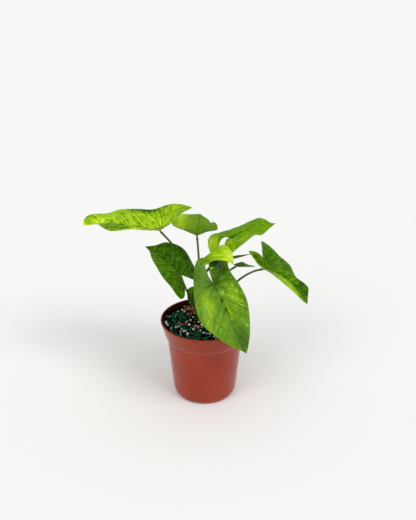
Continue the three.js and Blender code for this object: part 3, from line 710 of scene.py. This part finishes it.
def make_mix():
    """the body of the mix, with a crumbly top"""
    floor_z = FLOOR_Z + 0.3
    inset = WALL + MIX_CLEARANCE
    profile = [
        (0, floor_z), (HEEL_RADIUS - inset - 2.2, floor_z), (HEEL_RADIUS - inset - 0.5, floor_z + 1.2),
        (BODY_FOOT_RADIUS - inset, BODY_FOOT_Z + 0.3), (BODY_TOP_RADIUS - inset, SHOULDER_Z - 0.3),
        (BAND_FOOT_RADIUS - inset - 0.05, BAND_Z - 0.2), (MIX_EDGE_RADIUS, MIX_EDGE_Z),
    ]
    profile += [(MIX_EDGE_RADIUS * k / MIX_RINGS, MIX_EDGE_Z) for k in range(MIX_RINGS - 1, -1, -1)]
    points, faces = lathe(np.array(profile, float), MIX_SIDES)
    for p in points:
        if p[2] > MIX_EDGE_Z - 0.01:
            out = min(1, math.hypot(p[0], p[1]) / MIX_EDGE_RADIUS)
            crumbs = noise.fractal(Vector(p) * 0.42, 0.7, 2.1, 4) + 0.5 * noise.noise(Vector(p) * 1.7)
            p[2] = mix_height(p[0], p[1]) + CRUMB_HEIGHT * crumbs * (1 - out ** 6)
    mix = make_object("potting_mix_body", points, faces, MATERIALS["peat"], 80)
    finish_piece(mix, "potting_mix", "potting_mix")
    return mix


def grain(name, seed, stretch, roughness, levels, material):
    """one closed, uneven grain about 2 units across before it is stretched"""
    draw = random.Random(seed)
    bm = bmesh.new()
    bmesh.ops.create_icosphere(bm, subdivisions=levels, radius=1)
    shift = Vector([draw.uniform(0, 50) for _ in range(3)])
    for v in bm.verts:
        v.co *= 1 + roughness * noise.noise(v.co * (1 + roughness) + shift)
        v.co = Vector([a * b for a, b in zip(v.co, stretch)])
    mesh = bpy.data.meshes.new(name)
    bm.to_mesh(mesh)
    bm.free()
    mesh.materials.append(material)
    return bpy.data.objects.new(name, mesh)


def grain_set(name, count, stretch, roughness, levels, material):
    """a collection of grains of one kind, no two alike"""
    kept = bpy.data.collections.new(name)
    for k in range(count):
        kept.objects.link(grain(f"{name}_{k}", 31 * k + 7, stretch, roughness, levels, material))
    return kept


def scatter_tree():
    """Scatters grains over a surface. The surface's `share` attribute says where they lie, the grains are
    sunk a part of their own size, turned at random, and made real."""
    tree, given = new_tree(
        "scatter_grains", "Grains", ("Geometry", ["Surface"]), ("Collection", ["Grains"]),
        ("Float", ["Density", "Smallest", "Largest", "Lift"]), ("String", ["Share Name"]),
        ("Int", ["Seed"]), ("Material", ["Material"]))
    share = add(tree, "GeometryNodeInputNamedAttribute", {"Name": given["Share Name"]})
    density = add(tree, "ShaderNodeMath", {0: share.outputs[0], 1: given["Density"]},
                  operation="MULTIPLY")
    points = add(tree, "GeometryNodeDistributePointsOnFaces",
                 {"Mesh": given["Surface"], "Density": density.outputs[0], "Seed": given["Seed"]})
    size = add(tree, "FunctionNodeRandomValue",
               {2: given["Smallest"], 3: given["Largest"], "Seed": given["Seed"]})
    turn = add(tree, "FunctionNodeRandomValue", {0: (-3.1, -3.1, -3.1), 1: (3.1, 3.1, 3.1), "Seed": 5},
               data_type="FLOAT_VECTOR")
    rise = add(tree, "ShaderNodeMath", {0: size.outputs[1], 1: given["Lift"]}, operation="MULTIPLY")
    offset = add(tree, "ShaderNodeCombineXYZ", {2: rise.outputs[0]})
    raised = add(tree, "GeometryNodeSetPosition",
                 {"Geometry": points.outputs[0], "Offset": offset.outputs[0]})
    grains = add(tree, "GeometryNodeCollectionInfo",
                 {"Collection": given["Grains"], "Separate Children": True, "Reset Children": True})
    placed = add(tree, "GeometryNodeInstanceOnPoints",
                 {"Points": raised.outputs[0], "Instance": grains.outputs[0], "Pick Instance": True,
                  "Rotation": turn.outputs[0], "Scale": size.outputs[1]})
    real = add(tree, "GeometryNodeRealizeInstances", {0: placed.outputs[0]})
    smooth = add(tree, "GeometryNodeSetShadeSmooth", {0: real.outputs[0]})
    painted = add(tree, "GeometryNodeSetMaterial",
                  {"Geometry": smooth.outputs[0], "Material": given["Material"]})
    add(tree, "NodeGroupOutput", {0: painted.outputs[0]})
    return tree


def set_inputs(modifier, values):
    """sets a Geometry Nodes modifier's inputs, given by name, through their identifiers"""
    ids = {item.name: item.identifier for item in modifier.node_group.interface.items_tree
           if item.in_out == "INPUT"}
    for key, value in values.items():
        modifier[ids[key]] = value


# Where each kind of grain lies on the mix: (x, y, radius) of soft-edged heaps and of single lumps, and
# (x, y, size, turn) of single slabs.
GRANULE_HEAPS = [(-38, 18, 10), (-34, 4, 12), (-24, 10, 8), (-40, -8, 8), (-28, -20, 7), (-16, -36, 9),
                 (-4, -32, 9), (6, -34, 8), (-12, -20, 8), (-20, -12, 6), (24, -30, 9), (32, 14, 8)]
BARK_HEAPS = [(-20, 36, 6), (-8, -13, 6), (-28, -8, 4), (-12, 22, 8), (22, 24, 14), (30, -14, 10),
              (14, -36, 7), (-36, 26, 6)]
PERLITE = [(-43, 15, 1.5), (-47, 17, 1.2), (-47, 3, 1.6), (-46, -2, 2.3), (-44, -6, 1.4), (-40, -13, 1.3),
           (-34, -12, 1.7), (-31, -12, 1.5), (-27, -17, 1.5), (-24, -22, 1.7), (-20, -28, 2.0),
           (-17, 2, 1.5), (-18, -7, 2.1), (-12, -1, 1.5), (-13, -19, 2.5), (-15, -15, 1.4), (-7, -1, 1.4),
           (-4, -9, 1.9), (-1, -26, 1.6), (6, -28, 1.6), (-5, -21, 1.5), (-33, 29, 1.0), (-16, 25, 1.3),
           (-25, 28, 1.6), (-28, 31, 1.8), (-28, -22, 1.2), (-24, -38, 1.0)]
SLABS = [(-20, 36, 5.2, 20), (-15, 33, 4.0, 70), (-9, -14, 2.6, 50), (-4, -13, 2.2, 120),
         (-28, -8, 2.4, 10), (-13, 23, 3.0, 80)]

SCATTERED = [
    # name, shapes, stretch, unevenness, levels, material, density per m2, sizes, lift, share, seed
    ("peat_crumbs", 5, (1.2, 1, 0.8), 0.9, 1, "peat", 260000, (0.5, 1.5), 0.25, "everywhere", 3),
    ("peat_fibres", 4, (4.2, 0.35, 0.3), 0.8, 1, "fibre", 34000, (0.5, 1.1), 0.5, "everywhere", 9),
    ("fertiliser_granules", 4, (1, 0.95, 0.9), 0.18, 2, "granule", 98000, (0.7, 1.4), 0.75, "granules",
     4),
    ("perlite_grains", 5, (1.15, 1, 0.85), 0.7, 2, "perlite", 9000, (0.4, 1.0), 0.7, "everywhere", 6),
    ("bark_chips", 5, (1.7, 1.1, 0.4), 0.6, 2, "bark", 16000, (1.1, 2.7), 0.5, "bark", 8),
]
PLACED = [
    # name, (x, y, size, turn) of each, stretch, unevenness, material
    ("perlite_lumps", [(x, y, 0.72 * radius, 0) for x, y, radius in PERLITE], (1.1, 1, 0.85), 0.75,
     "perlite"),
    ("bark_slabs", SLABS, (1.25, 0.8, 0.4), 1.4, "bark"),
]


def heaps(points, rows):
    """share of the ground that belongs to soft-edged heaps, 0 to 1, at each point"""
    total = np.zeros(len(points))
    for x, y, radius in rows:
        total += np.exp(-((points[:, 0] - x) ** 2 + (points[:, 1] - y) ** 2) / radius ** 2)
    return np.minimum(1, total)


def make_grains(mix):
    """everything that lies loose on the mix"""
    # what is scattered on is the top of the mix alone, with the share of each kind on it
    top = mix.data.copy()
    bm = bmesh.new()
    bm.from_mesh(top)
    low = [f for f in bm.faces if f.normal.z < 0.2 or f.calc_center_median().z < (MIX_EDGE_Z - 3) * MM]
    bmesh.ops.delete(bm, geom=low, context="FACES")
    bm.to_mesh(top)
    bm.free()
    co = np.array([v.co for v in top.vertices]) / MM
    reach = np.hypot(co[:, 0], co[:, 1])
    open_ground = (reach < MIX_EDGE_RADIUS - BARE_EDGE).astype(float)
    store(top, "everywhere", "FLOAT", open_ground)
    store(top, "granules", "FLOAT", heaps(co, GRANULE_HEAPS) * open_ground)
    store(top, "bark", "FLOAT", heaps(co, BARK_HEAPS) * open_ground)
    tree = scatter_tree()
    for name, count, stretch, uneven, levels, material, density, sizes, lift, share, seed in SCATTERED:
        ground = bpy.data.objects.new(f"ground_for_{name}", top.copy())
        bpy.context.scene.collection.objects.link(ground)
        modifier = ground.modifiers.new("scatter", "NODES")
        modifier.node_group = tree
        shapes = grain_set(name + "_shapes", count, stretch, uneven, levels, MATERIALS[material])
        set_inputs(modifier, {
            "Grains": shapes, "Density": float(density), "Smallest": sizes[0] * MM,
            "Largest": sizes[1] * MM, "Lift": lift, "Share Name": share, "Seed": seed,
            "Material": MATERIALS[material]})
        piece = as_mesh(ground, name)
        for shape in list(shapes.objects):
            bpy.data.objects.remove(shape)
        finish_piece(piece, "potting_mix")
    make_large_grains()


def make_large_grains():
    """the large pieces that each lie at a place of their own: lumps of perlite and slabs of bark"""
    for name, rows, stretch, uneven, material in PLACED:
        bm = bmesh.new()
        for k, (x, y, size, turn) in enumerate(rows):
            piece = grain("part", 91 + k, stretch, uneven, 2, MATERIALS[material])
            lean = Matrix.Rotation(0.5 * math.sin(3.1 * k), 4, "X")
            lean = lean @ Matrix.Rotation(0.4 * math.cos(k), 4, "Y")
            z = mix_height(x, y) + 0.45 * size * stretch[2] + 0.7
            place = Matrix.Translation(Vector((x, y, z)) * MM)
            spin = Matrix.Rotation(math.radians(turn + 57 * k), 4, "Z")
            piece.data.transform(place @ spin @ lean @ Matrix.Scale(size * MM, 4))
            bm.from_mesh(piece.data)
            bpy.data.objects.remove(piece)
        mesh = bpy.data.meshes.new(name)
        bm.to_mesh(mesh)
        bm.free()
        mesh.materials.append(MATERIALS[material])
        mesh.shade_smooth()
        mesh.set_sharp_from_angle(angle=math.radians(18))
        made = bpy.data.objects.new(name, mesh)
        bpy.context.scene.collection.objects.link(made)
        finish_piece(made, "potting_mix")


# ---------------------------------------------------------------- leaf blades


def unit(v):
    """vectors brought to length 1"""
    return v / np.linalg.norm(v, axis=-1, keepdims=True)


def blade_frame(leaf):
    """the blade's own axes: along to the tip, across to the left, up from the upper face"""
    he, pi, ro = (math.radians(leaf[key]) for key in ("heading", "pitch", "roll"))
    along = np.array([math.cos(pi) * math.cos(he), math.cos(pi) * math.sin(he), math.sin(pi)])
    level = np.array([-math.sin(he), math.cos(he), 0])
    lift = np.cross(along, level)
    across = level * math.cos(ro) + lift * math.sin(ro)
    up = lift * math.cos(ro) - level * math.sin(ro)
    return along, across, up


def smooth_line(points, steps):
    """a smooth curve through the points, `steps` to a span, as the solids have it"""
    p = np.array(points, float)
    p = np.concatenate([[2 * p[0] - p[1]], p, [2 * p[-1] - p[-2]]])
    made = []
    for k in range(1, len(p) - 2):
        for s in range(steps):
            t = s / steps
            start, end = (p[k + 1] - p[k - 1]) / 2, (p[k + 2] - p[k]) / 2
            made.append((2 * p[k] - 2 * p[k + 1] + start + end) * t ** 3
                        + (3 * p[k + 1] - 3 * p[k] - 2 * start - end) * t ** 2 + start * t + p[k])
    made.append(p[-2])
    return np.array(made)


def veins(x, y, length, draw):
    """Number of the side vein through a place in plan, how far along it the place lies, and the spacing
    there. Side veins leave the midrib at VEIN_ANGLE and bend to the tip, and those of the lobes fan out
    of the stalk. No two spaces are alike, and the two halves of the blade don't mirror each other."""
    aside = np.abs(y)
    angle = math.radians(VEIN_ANGLE)
    straight = x - VEIN_SWEEP * aside ** 2
    start = straight - aside / math.tan(angle)
    spacing = VEIN_SPACING * length
    turn = np.arctan2(aside, straight) - angle
    reach = np.hypot(straight, aside)
    fan = math.radians(VEIN_FAN)
    number = np.where(start > 0, start / spacing, -np.maximum(turn, 0) / fan)
    gap = np.where(start > 0, spacing * math.sin(angle), reach * fan)
    run = np.where(start > 0, aside / math.sin(angle), reach)

    # two waves along the blade widen some spaces and narrow others
    shift = np.where(y > 0, draw.uniform(0, 6.3), draw.uniform(0, 6.3))
    stretch = 1 + 0.36 * np.cos(2 * number + shift) + 0.2 * np.cos(4.3 * number + 2 * shift)
    number = number + 0.18 * np.sin(2 * number + shift) + 0.2 / 4.3 * np.sin(4.3 * number + 2 * shift)
    return number + np.where(y > 0, 0.3, 0), run, gap / stretch


def bell(distance, width):
    """1 on a line, dying out to both sides of it"""
    return np.exp(-(distance / width) ** 2)


def blade_sheet(leaf, rings):
    """The smooth upper face as spokes and rings round the stalk: the edge, the share of each spoke, x and
    y in plan, the points and the way up from each."""
    along, across, up = blade_frame(leaf)
    right = smooth_line([leaf["tip"]] + leaf["right"], EDGE_STEPS)
    left = smooth_line([leaf["tip"]] + leaf["left"], EDGE_STEPS)
    edge = np.concatenate([right[::-1], left[1:]])[:, None, :]
    rho = np.linspace(0, 1, rings + 1)[None, :]

    to_tip = np.clip(edge[..., 0] / leaf["tip"][0], 0, 1)
    farthest_back = min(-1, *[point[0] for point in leaf["left"] + leaf["right"]])
    to_lobe = np.clip(edge[..., 0] / farthest_back, 0, 1)
    lobe_bend, lobe_bow = leaf.get("lobe", (leaf["bend"], 0))
    bend = leaf["bend"] + (lobe_bend - leaf["bend"]) * to_lobe
    rise = leaf["bow"][1] * to_tip + lobe_bow * to_lobe
    bow = 4 * rho * (1 - rho)
    vee = leaf["fold"] * np.abs(edge[..., 1])
    x = edge[..., 0] * rho + leaf["bow"][0] * bow * to_tip
    y = edge[..., 1] * rho
    z = vee * rho + (edge[..., 2] - vee) * rho ** bend + rise * bow
    face = np.array(leaf["at"], float) + x[..., None] * along + y[..., None] * across + z[..., None] * up

    normal = np.cross(np.gradient(face, axis=1), np.gradient(face, axis=0))
    normal[:, 0] = up
    return edge, rho, x, y, face, unit(normal)


def blade_relief(leaf, edge, rho, x, y, draw):
    """How far each point of the upper face stands out, how thick the blade is there, and where it lies
    among the veins. The veins lie in grooves, the blade swells and puckers between them, and the relief
    dies out at the rim, over the stalk and, but for a quarter, to the tip."""
    length = leaf["tip"][0]
    size = length / RELIEF_LENGTH
    number, run, gap = veins(edge[..., 0] * rho, y, length, draw)
    beside = np.abs((number + 0.5) % 1 - 0.5) * gap
    rim = (1 - rho) * np.linalg.norm(edge[..., :2], axis=-1)
    fade = np.clip(rim / (FLAT_RIM * size), 0, 1) * np.clip(rho * 4, 0, 1)
    calm = 1 - 0.75 * np.clip((x / length - 0.4) / 0.3, 0, 1)
    relief = size * leaf.get("quilt", 1) * calm
    quilt = QUILT_HEIGHT * relief * np.sin(np.pi * number) ** 2 * fade
    quilt = quilt + RIPPLE_HEIGHT * relief * np.sin(8 * np.pi * number) * fade
    grooves = GROOVE * (size + relief) * bell(y, GROOVE_WIDTH) * (1 - 0.7 * rho)
    grooves = grooves + SIDE_GROOVE * size * bell(beside, SIDE_GROOVE_WIDTH) * fade * calm
    pucker = np.array([[noise.fractal(Vector((a * 2.3, b / (PUCKER_LENGTH * size), c)), 0.8, 2, 2)
                        for a, b, c in zip(*row)]
                       for row in zip(number, run, np.where(y > 0, 0.0, 9.0) + 0 * number)])
    quilt = quilt + PUCKER_HEIGHT * relief * pucker * fade
    swell = np.zeros_like(quilt)
    for _ in range(SWELLS):
        turn, wave, start = draw.uniform(0, 6.3), draw.uniform(0.07, 0.2), draw.uniform(0, 6.3)
        swell += SWELL_HEIGHT * size * np.sin(wave * (x * math.cos(turn) + y * math.sin(turn)) + start)

    # thin at the rim, with the midrib and the side veins standing out underneath
    thick = BLADE * (1 - 0.45 * np.clip((rho - RIM_FROM) / 0.07, 0, 1))
    thick = thick + RIB * (1 - 0.85 * rho) * bell(y, RIB_WIDTH) * (edge[..., 0] > 0)
    thick = thick + SIDE_RIB * size * bell(beside, SIDE_RIB_WIDTH) * fade - grooves * 0.6
    return quilt - grooves + swell * fade, np.maximum(thick, THINNEST), (number, run, gap)


def sheet_faces(spokes, rings):
    """faces of a closed sheet whose upper points come before its lower ones: both sides and the rim"""
    low = 1 + spokes * rings

    def at(i, j):
        return 0 if j == 0 else i * rings + j

    faces = []
    for i in range(spokes - 1):
        faces.append((0, at(i, 1), at(i + 1, 1)))
        faces.append((low, low + at(i + 1, 1), low + at(i, 1)))
        for j in range(1, rings):
            quad = (at(i, j), at(i, j + 1), at(i + 1, j + 1), at(i + 1, j))
            faces.append(quad)
            faces.append(tuple(low + k for k in reversed(quad)))
    border = [at(0, j) for j in range(rings + 1)] + [at(i, rings) for i in range(1, spokes)]
    border += [at(spokes - 1, j) for j in range(rings - 1, 0, -1)]
    for k, a in enumerate(border):
        b = border[(k + 1) % len(border)]
        faces.append((a, low + a, low + b, b))
    return faces


def by_point(grid):
    """the rows of a grid of spokes and rings, one for each point: the middle once, then spoke by spoke"""
    return np.concatenate([grid[:1, 0], grid[:, 1:].reshape(-1, *grid.shape[2:])])


def make_blade(name, leaf):
    """A closed blade with its relief. Its materials read what it stores: the tone, the place in plan and
    among the veins, the way of the streaks, and which side is the underside."""
    rings = RINGS // 2 if name.startswith("small") else RINGS
    draw = random.Random(name)
    edge, rho, x, y, face, normal = blade_sheet(leaf, rings)
    lift, thick, (number, run, gap) = blade_relief(leaf, edge, rho, x, y, draw)
    face = face + normal * lift[..., None]
    under = face - normal * thick[..., None]
    upper = by_point(face)
    piece = make_object(f"blade_{name}", np.concatenate([upper, by_point(under)]),
                        sheet_faces(len(edge), rings), MATERIALS[leaf["finish"]])

    tone = np.full(x.shape, leaf["tone"])
    # the patches bring the blade's own lighter and darker stretches, and on some leaves painted sheen and
    # painted shade, into its tone
    for px, py, rx, ry, step in leaf["tone_and_light_patches"]:
        tone = tone + step * np.exp(-((x - px) / rx) ** 2 - ((y - py) / ry) ** 2)
    shift = draw.uniform(0, 40)
    own = np.full(x.shape, shift)
    if leaf.get("lengthwise"):
        streak = (y / 1.4, x / 14, own)
    else:
        size = leaf["tip"][0] / RELIEF_LENGTH
        streak = (number * 6 + np.where(y > 0, shift, -shift), run / (8 * size), rho + 0 * x)
    for key, rows in (("vein", (number, run, gap)), ("plan", (x, y, own)), ("streak", streak)):
        store(piece.data, key, "FLOAT_VECTOR", np.tile(by_point(np.stack(rows, -1)), (2, 1)))
    store(piece.data, "tone", "FLOAT", np.tile(by_point(tone), 2))
    store(piece.data, "under", "FLOAT", np.repeat([0, 1], len(upper)))
    finish_piece(piece, FINISHES[leaf["finish"]]["slot"], f"leaf_{name}")


# ---------------------------------------------------------------- stalks


def stalk_tree():
    """A stalk along a curve. Its sheathed foot is open on one side with two lips, its top swells where
    the blade sits on it, and a rolled leaf's end is a spindle with the step of its outermost turn."""
    tree, given = new_tree(
        "stalk_along_path", "Stalk", ("Geometry", ["Path"]),
        ("Float", ["Foot Radius", "Top Radius", "Sheath Share", "Lips", "Joint", "Roll From", "Roll",
                   "Step"]),
        ("Material", ["Material"]))
    along = add(tree, "GeometryNodeSplineParameter").outputs["Factor"]
    plain = add(tree, "ShaderNodeMapRange",
                {0: along, 2: given["Sheath Share"], 3: given["Foot Radius"], 4: given["Top Radius"]},
                interpolation_type="SMOOTHSTEP")

    # the joint swells just under the blade, and a rolled leaf bellies out all the way to its tip
    joint = add(tree, "ShaderNodeMapRange", {0: along, 1: 0.93, 2: 0.98, 3: 0, 4: given["Joint"]},
                interpolation_type="SMOOTHSTEP")
    jointed = add(tree, "ShaderNodeMath", {0: plain.outputs[0], 1: joint.outputs[0]}, operation="ADD")
    rolled = add(tree, "ShaderNodeMapRange", {0: along, 1: given["Roll From"], 3: 0, 4: math.pi})
    spindle = add(tree, "ShaderNodeMath", {0: rolled.outputs[0]}, operation="SINE")
    swollen = add(tree, "ShaderNodeMath",
                  {0: spindle.outputs[0], 1: given["Roll"], 2: jointed.outputs[0]},
                  operation="MULTIPLY_ADD")

    # a stalk ends blunt, a rolled leaf in a point
    ending = add(tree, "ShaderNodeMapRange", {0: along, 1: 0.975, 2: 1, 3: 1, 4: 0.55})
    pointed = add(tree, "ShaderNodeMapRange", {0: along, 1: 0.88, 2: 1, 3: 1, 4: 0.22})
    is_rolled = add(tree, "ShaderNodeMath", {0: given["Roll"], 1: 0.00001}, operation="GREATER_THAN")
    taper = add(tree, "ShaderNodeMix",
                {0: is_rolled.outputs[0], 2: ending.outputs[0], 3: pointed.outputs[0]})
    radius = add(tree, "ShaderNodeMath", {0: swollen.outputs[0], 1: taper.outputs[0]},
                 operation="MULTIPLY")

    path = add(tree, "GeometryNodeStoreNamedAttribute",
               {"Geometry": given["Path"], "Name": "share", "Value": along})
    ring = add(tree, "GeometryNodeCurvePrimitiveCircle", {"Resolution": STALK_SIDES, "Radius": 1.0})
    marked = add(tree, "GeometryNodeStoreNamedAttribute",
                 {"Geometry": ring.outputs[0], "Name": "around",
                  "Value": add(tree, "GeometryNodeSplineParameter").outputs["Factor"]})
    bar = add(tree, "GeometryNodeCurveToMesh",
              {"Curve": path.outputs[0], "Profile Curve": marked.outputs[0], "Scale": radius.outputs[0],
               "Fill Caps": True})

    # two lips beside a furrow, which die out at the end of the sheath
    around = add(tree, "GeometryNodeInputNamedAttribute", {"Name": "around"})
    share = add(tree, "GeometryNodeInputNamedAttribute", {"Name": "share"})
    section = add(tree, "ShaderNodeFloatCurve", {"Value": around.outputs[0]})
    curve = section.mapping.curves[0]
    curve.points[0].location = (0, 0.5)
    curve.points[1].location = (1, 0.5)
    for place, height in ((0.30, 0.5), (0.40, 0.95), (0.47, 0.15), (0.5, 0.0), (0.53, 0.15), (0.60, 0.95),
                          (0.70, 0.5)):
        curve.points.new(place, height)
    section.mapping.update()
    centred = add(tree, "ShaderNodeMath", {0: section.outputs[0], 1: 0.5}, operation="SUBTRACT")
    dying = add(tree, "ShaderNodeMapRange",
                {0: share.outputs[0], 2: given["Sheath Share"], 3: given["Lips"], 4: 0},
                interpolation_type="SMOOTHSTEP")
    lips = add(tree, "ShaderNodeMath", {0: centred.outputs[0], 1: dying.outputs[0]}, operation="MULTIPLY")
    rolling = add(tree, "ShaderNodeMapRange",
                  {0: share.outputs[0], 1: given["Roll From"], 2: 0.85, 3: 0, 4: given["Step"]})
    turned = add(tree, "ShaderNodeMath",
                 {0: around.outputs[0], 1: rolling.outputs[0], 2: lips.outputs[0]},
                 operation="MULTIPLY_ADD")
    outward = add(tree, "ShaderNodeVectorMath",
                  {0: add(tree, "GeometryNodeInputNormal").outputs[0], "Scale": turned.outputs[0]},
                  operation="SCALE")
    shaped = add(tree, "GeometryNodeSetPosition",
                 {"Geometry": bar.outputs[0], "Offset": outward.outputs[0]})
    smooth = add(tree, "GeometryNodeSetShadeSmooth", {0: shaped.outputs[0]})
    real = add(tree, "GeometryNodeRealizeInstances", {0: smooth.outputs[0]})
    painted = add(tree, "GeometryNodeSetMaterial",
                  {"Geometry": real.outputs[0], "Material": given["Material"]})
    add(tree, "NodeGroupOutput", {0: painted.outputs[0]})
    return tree


def on_crown(degrees, z):
    """a place on the ring round which the stalks leave the mix"""
    a = math.radians(degrees)
    return np.array([CROWN[0] + CROWN_RADIUS * math.cos(a), CROWN[1] + CROWN_RADIUS * math.sin(a), z])


def stalk_path(foot, via, end, steps=48):
    """straight up out of the mix, then along a Bezier curve to the end"""
    p0, p1, p2, p3 = on_crown(foot, CROWN_Z), *(np.array(v, float) for v in via), np.array(end, float)
    made = [on_crown(foot, CROWN_Z - STALK_DEPTH), on_crown(foot, CROWN_Z - STALK_DEPTH / 2)]
    for s in range(steps + 1):
        t = s / steps
        made.append((1 - t) ** 3 * p0 + 3 * t * (1 - t) ** 2 * p1 + 3 * t * t * (1 - t) * p2
                    + t ** 3 * p3)
    return made


def make_stalk(name, node, tree, path, **sizes):
    """a stalk along a path, from the usual sizes and those given"""
    line = bpy.data.curves.new(name, "CURVE")
    line.dimensions = "3D"
    spline = line.splines.new("POLY")
    spline.points.add(len(path) - 1)
    for point, place in zip(spline.points, path):
        point.co = (*(place * MM), 1)
    draft = bpy.data.objects.new(name + "_path", line)
    bpy.context.scene.collection.objects.link(draft)
    modifier = draft.modifiers.new("stalk", "NODES")
    modifier.node_group = tree
    values = {"Foot Radius": STALK_FOOT_RADIUS * MM, "Top Radius": STALK_TOP_RADIUS * MM,
              "Sheath Share": SHEATH_SHARE, "Lips": SHEATH_LIPS * MM, "Joint": JOINT_SWELLING * MM,
              "Roll From": 0.6, "Roll": 0.0, "Step": 0.0, "Material": MATERIALS["stalk"]}
    set_inputs(modifier, {**values, **sizes})
    finish_piece(as_mesh(draft, name), "stalk", node)


def make_stalks():
    """A stalk ends just under its blade, lower where it comes in at a slant. The rolled leaf is a stalk
    whose upper half is a spindle."""
    tree = stalk_tree()
    for name, leaf in LEAVES.items():
        up = blade_frame(leaf)[2]
        arrival = unit(np.array(leaf["at"], float) - np.array(leaf["via"][1], float))
        tilt = np.linalg.norm(np.cross(arrival, up))
        end = np.array(leaf["at"], float) - up * (BLADE + 0.5 + 0.5 * tilt)
        make_stalk(f"petiole_{name}", f"stalk_{name}", tree, stalk_path(leaf["foot"], leaf["via"], end))
    path = stalk_path(ROLLED_LEAF["foot"], ROLLED_LEAF["via"], ROLLED_LEAF["end"])
    make_stalk("rolled_new_leaf", "rolled_leaf", tree, path,
               **{"Joint": 0.0, "Roll From": 0.5, "Roll": ROLL_SWELLING * MM, "Step": ROLL_STEP * MM})


# ---------------------------------------------------------------- scene


def make_floor():
    """a plain pale floor that reaches well past what the camera sees"""
    bpy.ops.mesh.primitive_plane_add(size=30)
    ground = bpy.context.object
    ground.name = "floor"
    ground.data.materials.append(floor_paint())


MATERIALS = {
    "pot": pot_plastic(),
    "stalk": stalk_skin(),
    # milled peat, kept damp: almost black, matt and crumbly, with brown lights
    "peat": grain_material("damp_peat", [(0.35, "#030202"), (0.55, "#0A0605"), (0.75, "#1B110D")], 0.8,
                           420, gloss=0.12),
    # coir, the fibre of coconut husk: dull, wine-brown threads
    "fibre": grain_material("coir_fibre", [(0.3, "#220A0A"), (0.7, "#4A1C18")], 0.8, 300, gloss=0.12),
    # fertiliser granules in a coat of resin: smooth, deep green, with a soft shine
    "granule": grain_material("coated_fertiliser", [(0.3, "#00402B"), (0.7, "#008A56")], 0.35, 600,
                              gloss=0.15, bump_height=0.0001),
    # perlite, volcanic glass puffed up by heat: chalky white, rough and without a shine
    "perlite": grain_material("expanded_perlite", [(0.3, "#FBF4EC"), (0.6, "#FFFFFD")], 0.85, 500,
                              gloss=0.3),
    # pine bark, broken and composted: dark red-brown, with tan where it broke
    "bark": grain_material("pine_bark", [(0.38, "#2A0D0A"), (0.5, "#7E3E2A"), (0.62, "#D8A48C")], 0.8,
                           300, gloss=0.15),
}
for age, look in FINISHES.items():
    MATERIALS[age] = blade_cuticle(f"{age}_leaf_cuticle", look)

place_camera()
place_lights()
make_floor()
make_pot()
make_grains(make_mix())
for leaf_name, leaf_row in LEAVES.items():
    make_blade(leaf_name, leaf_row)
make_stalks()
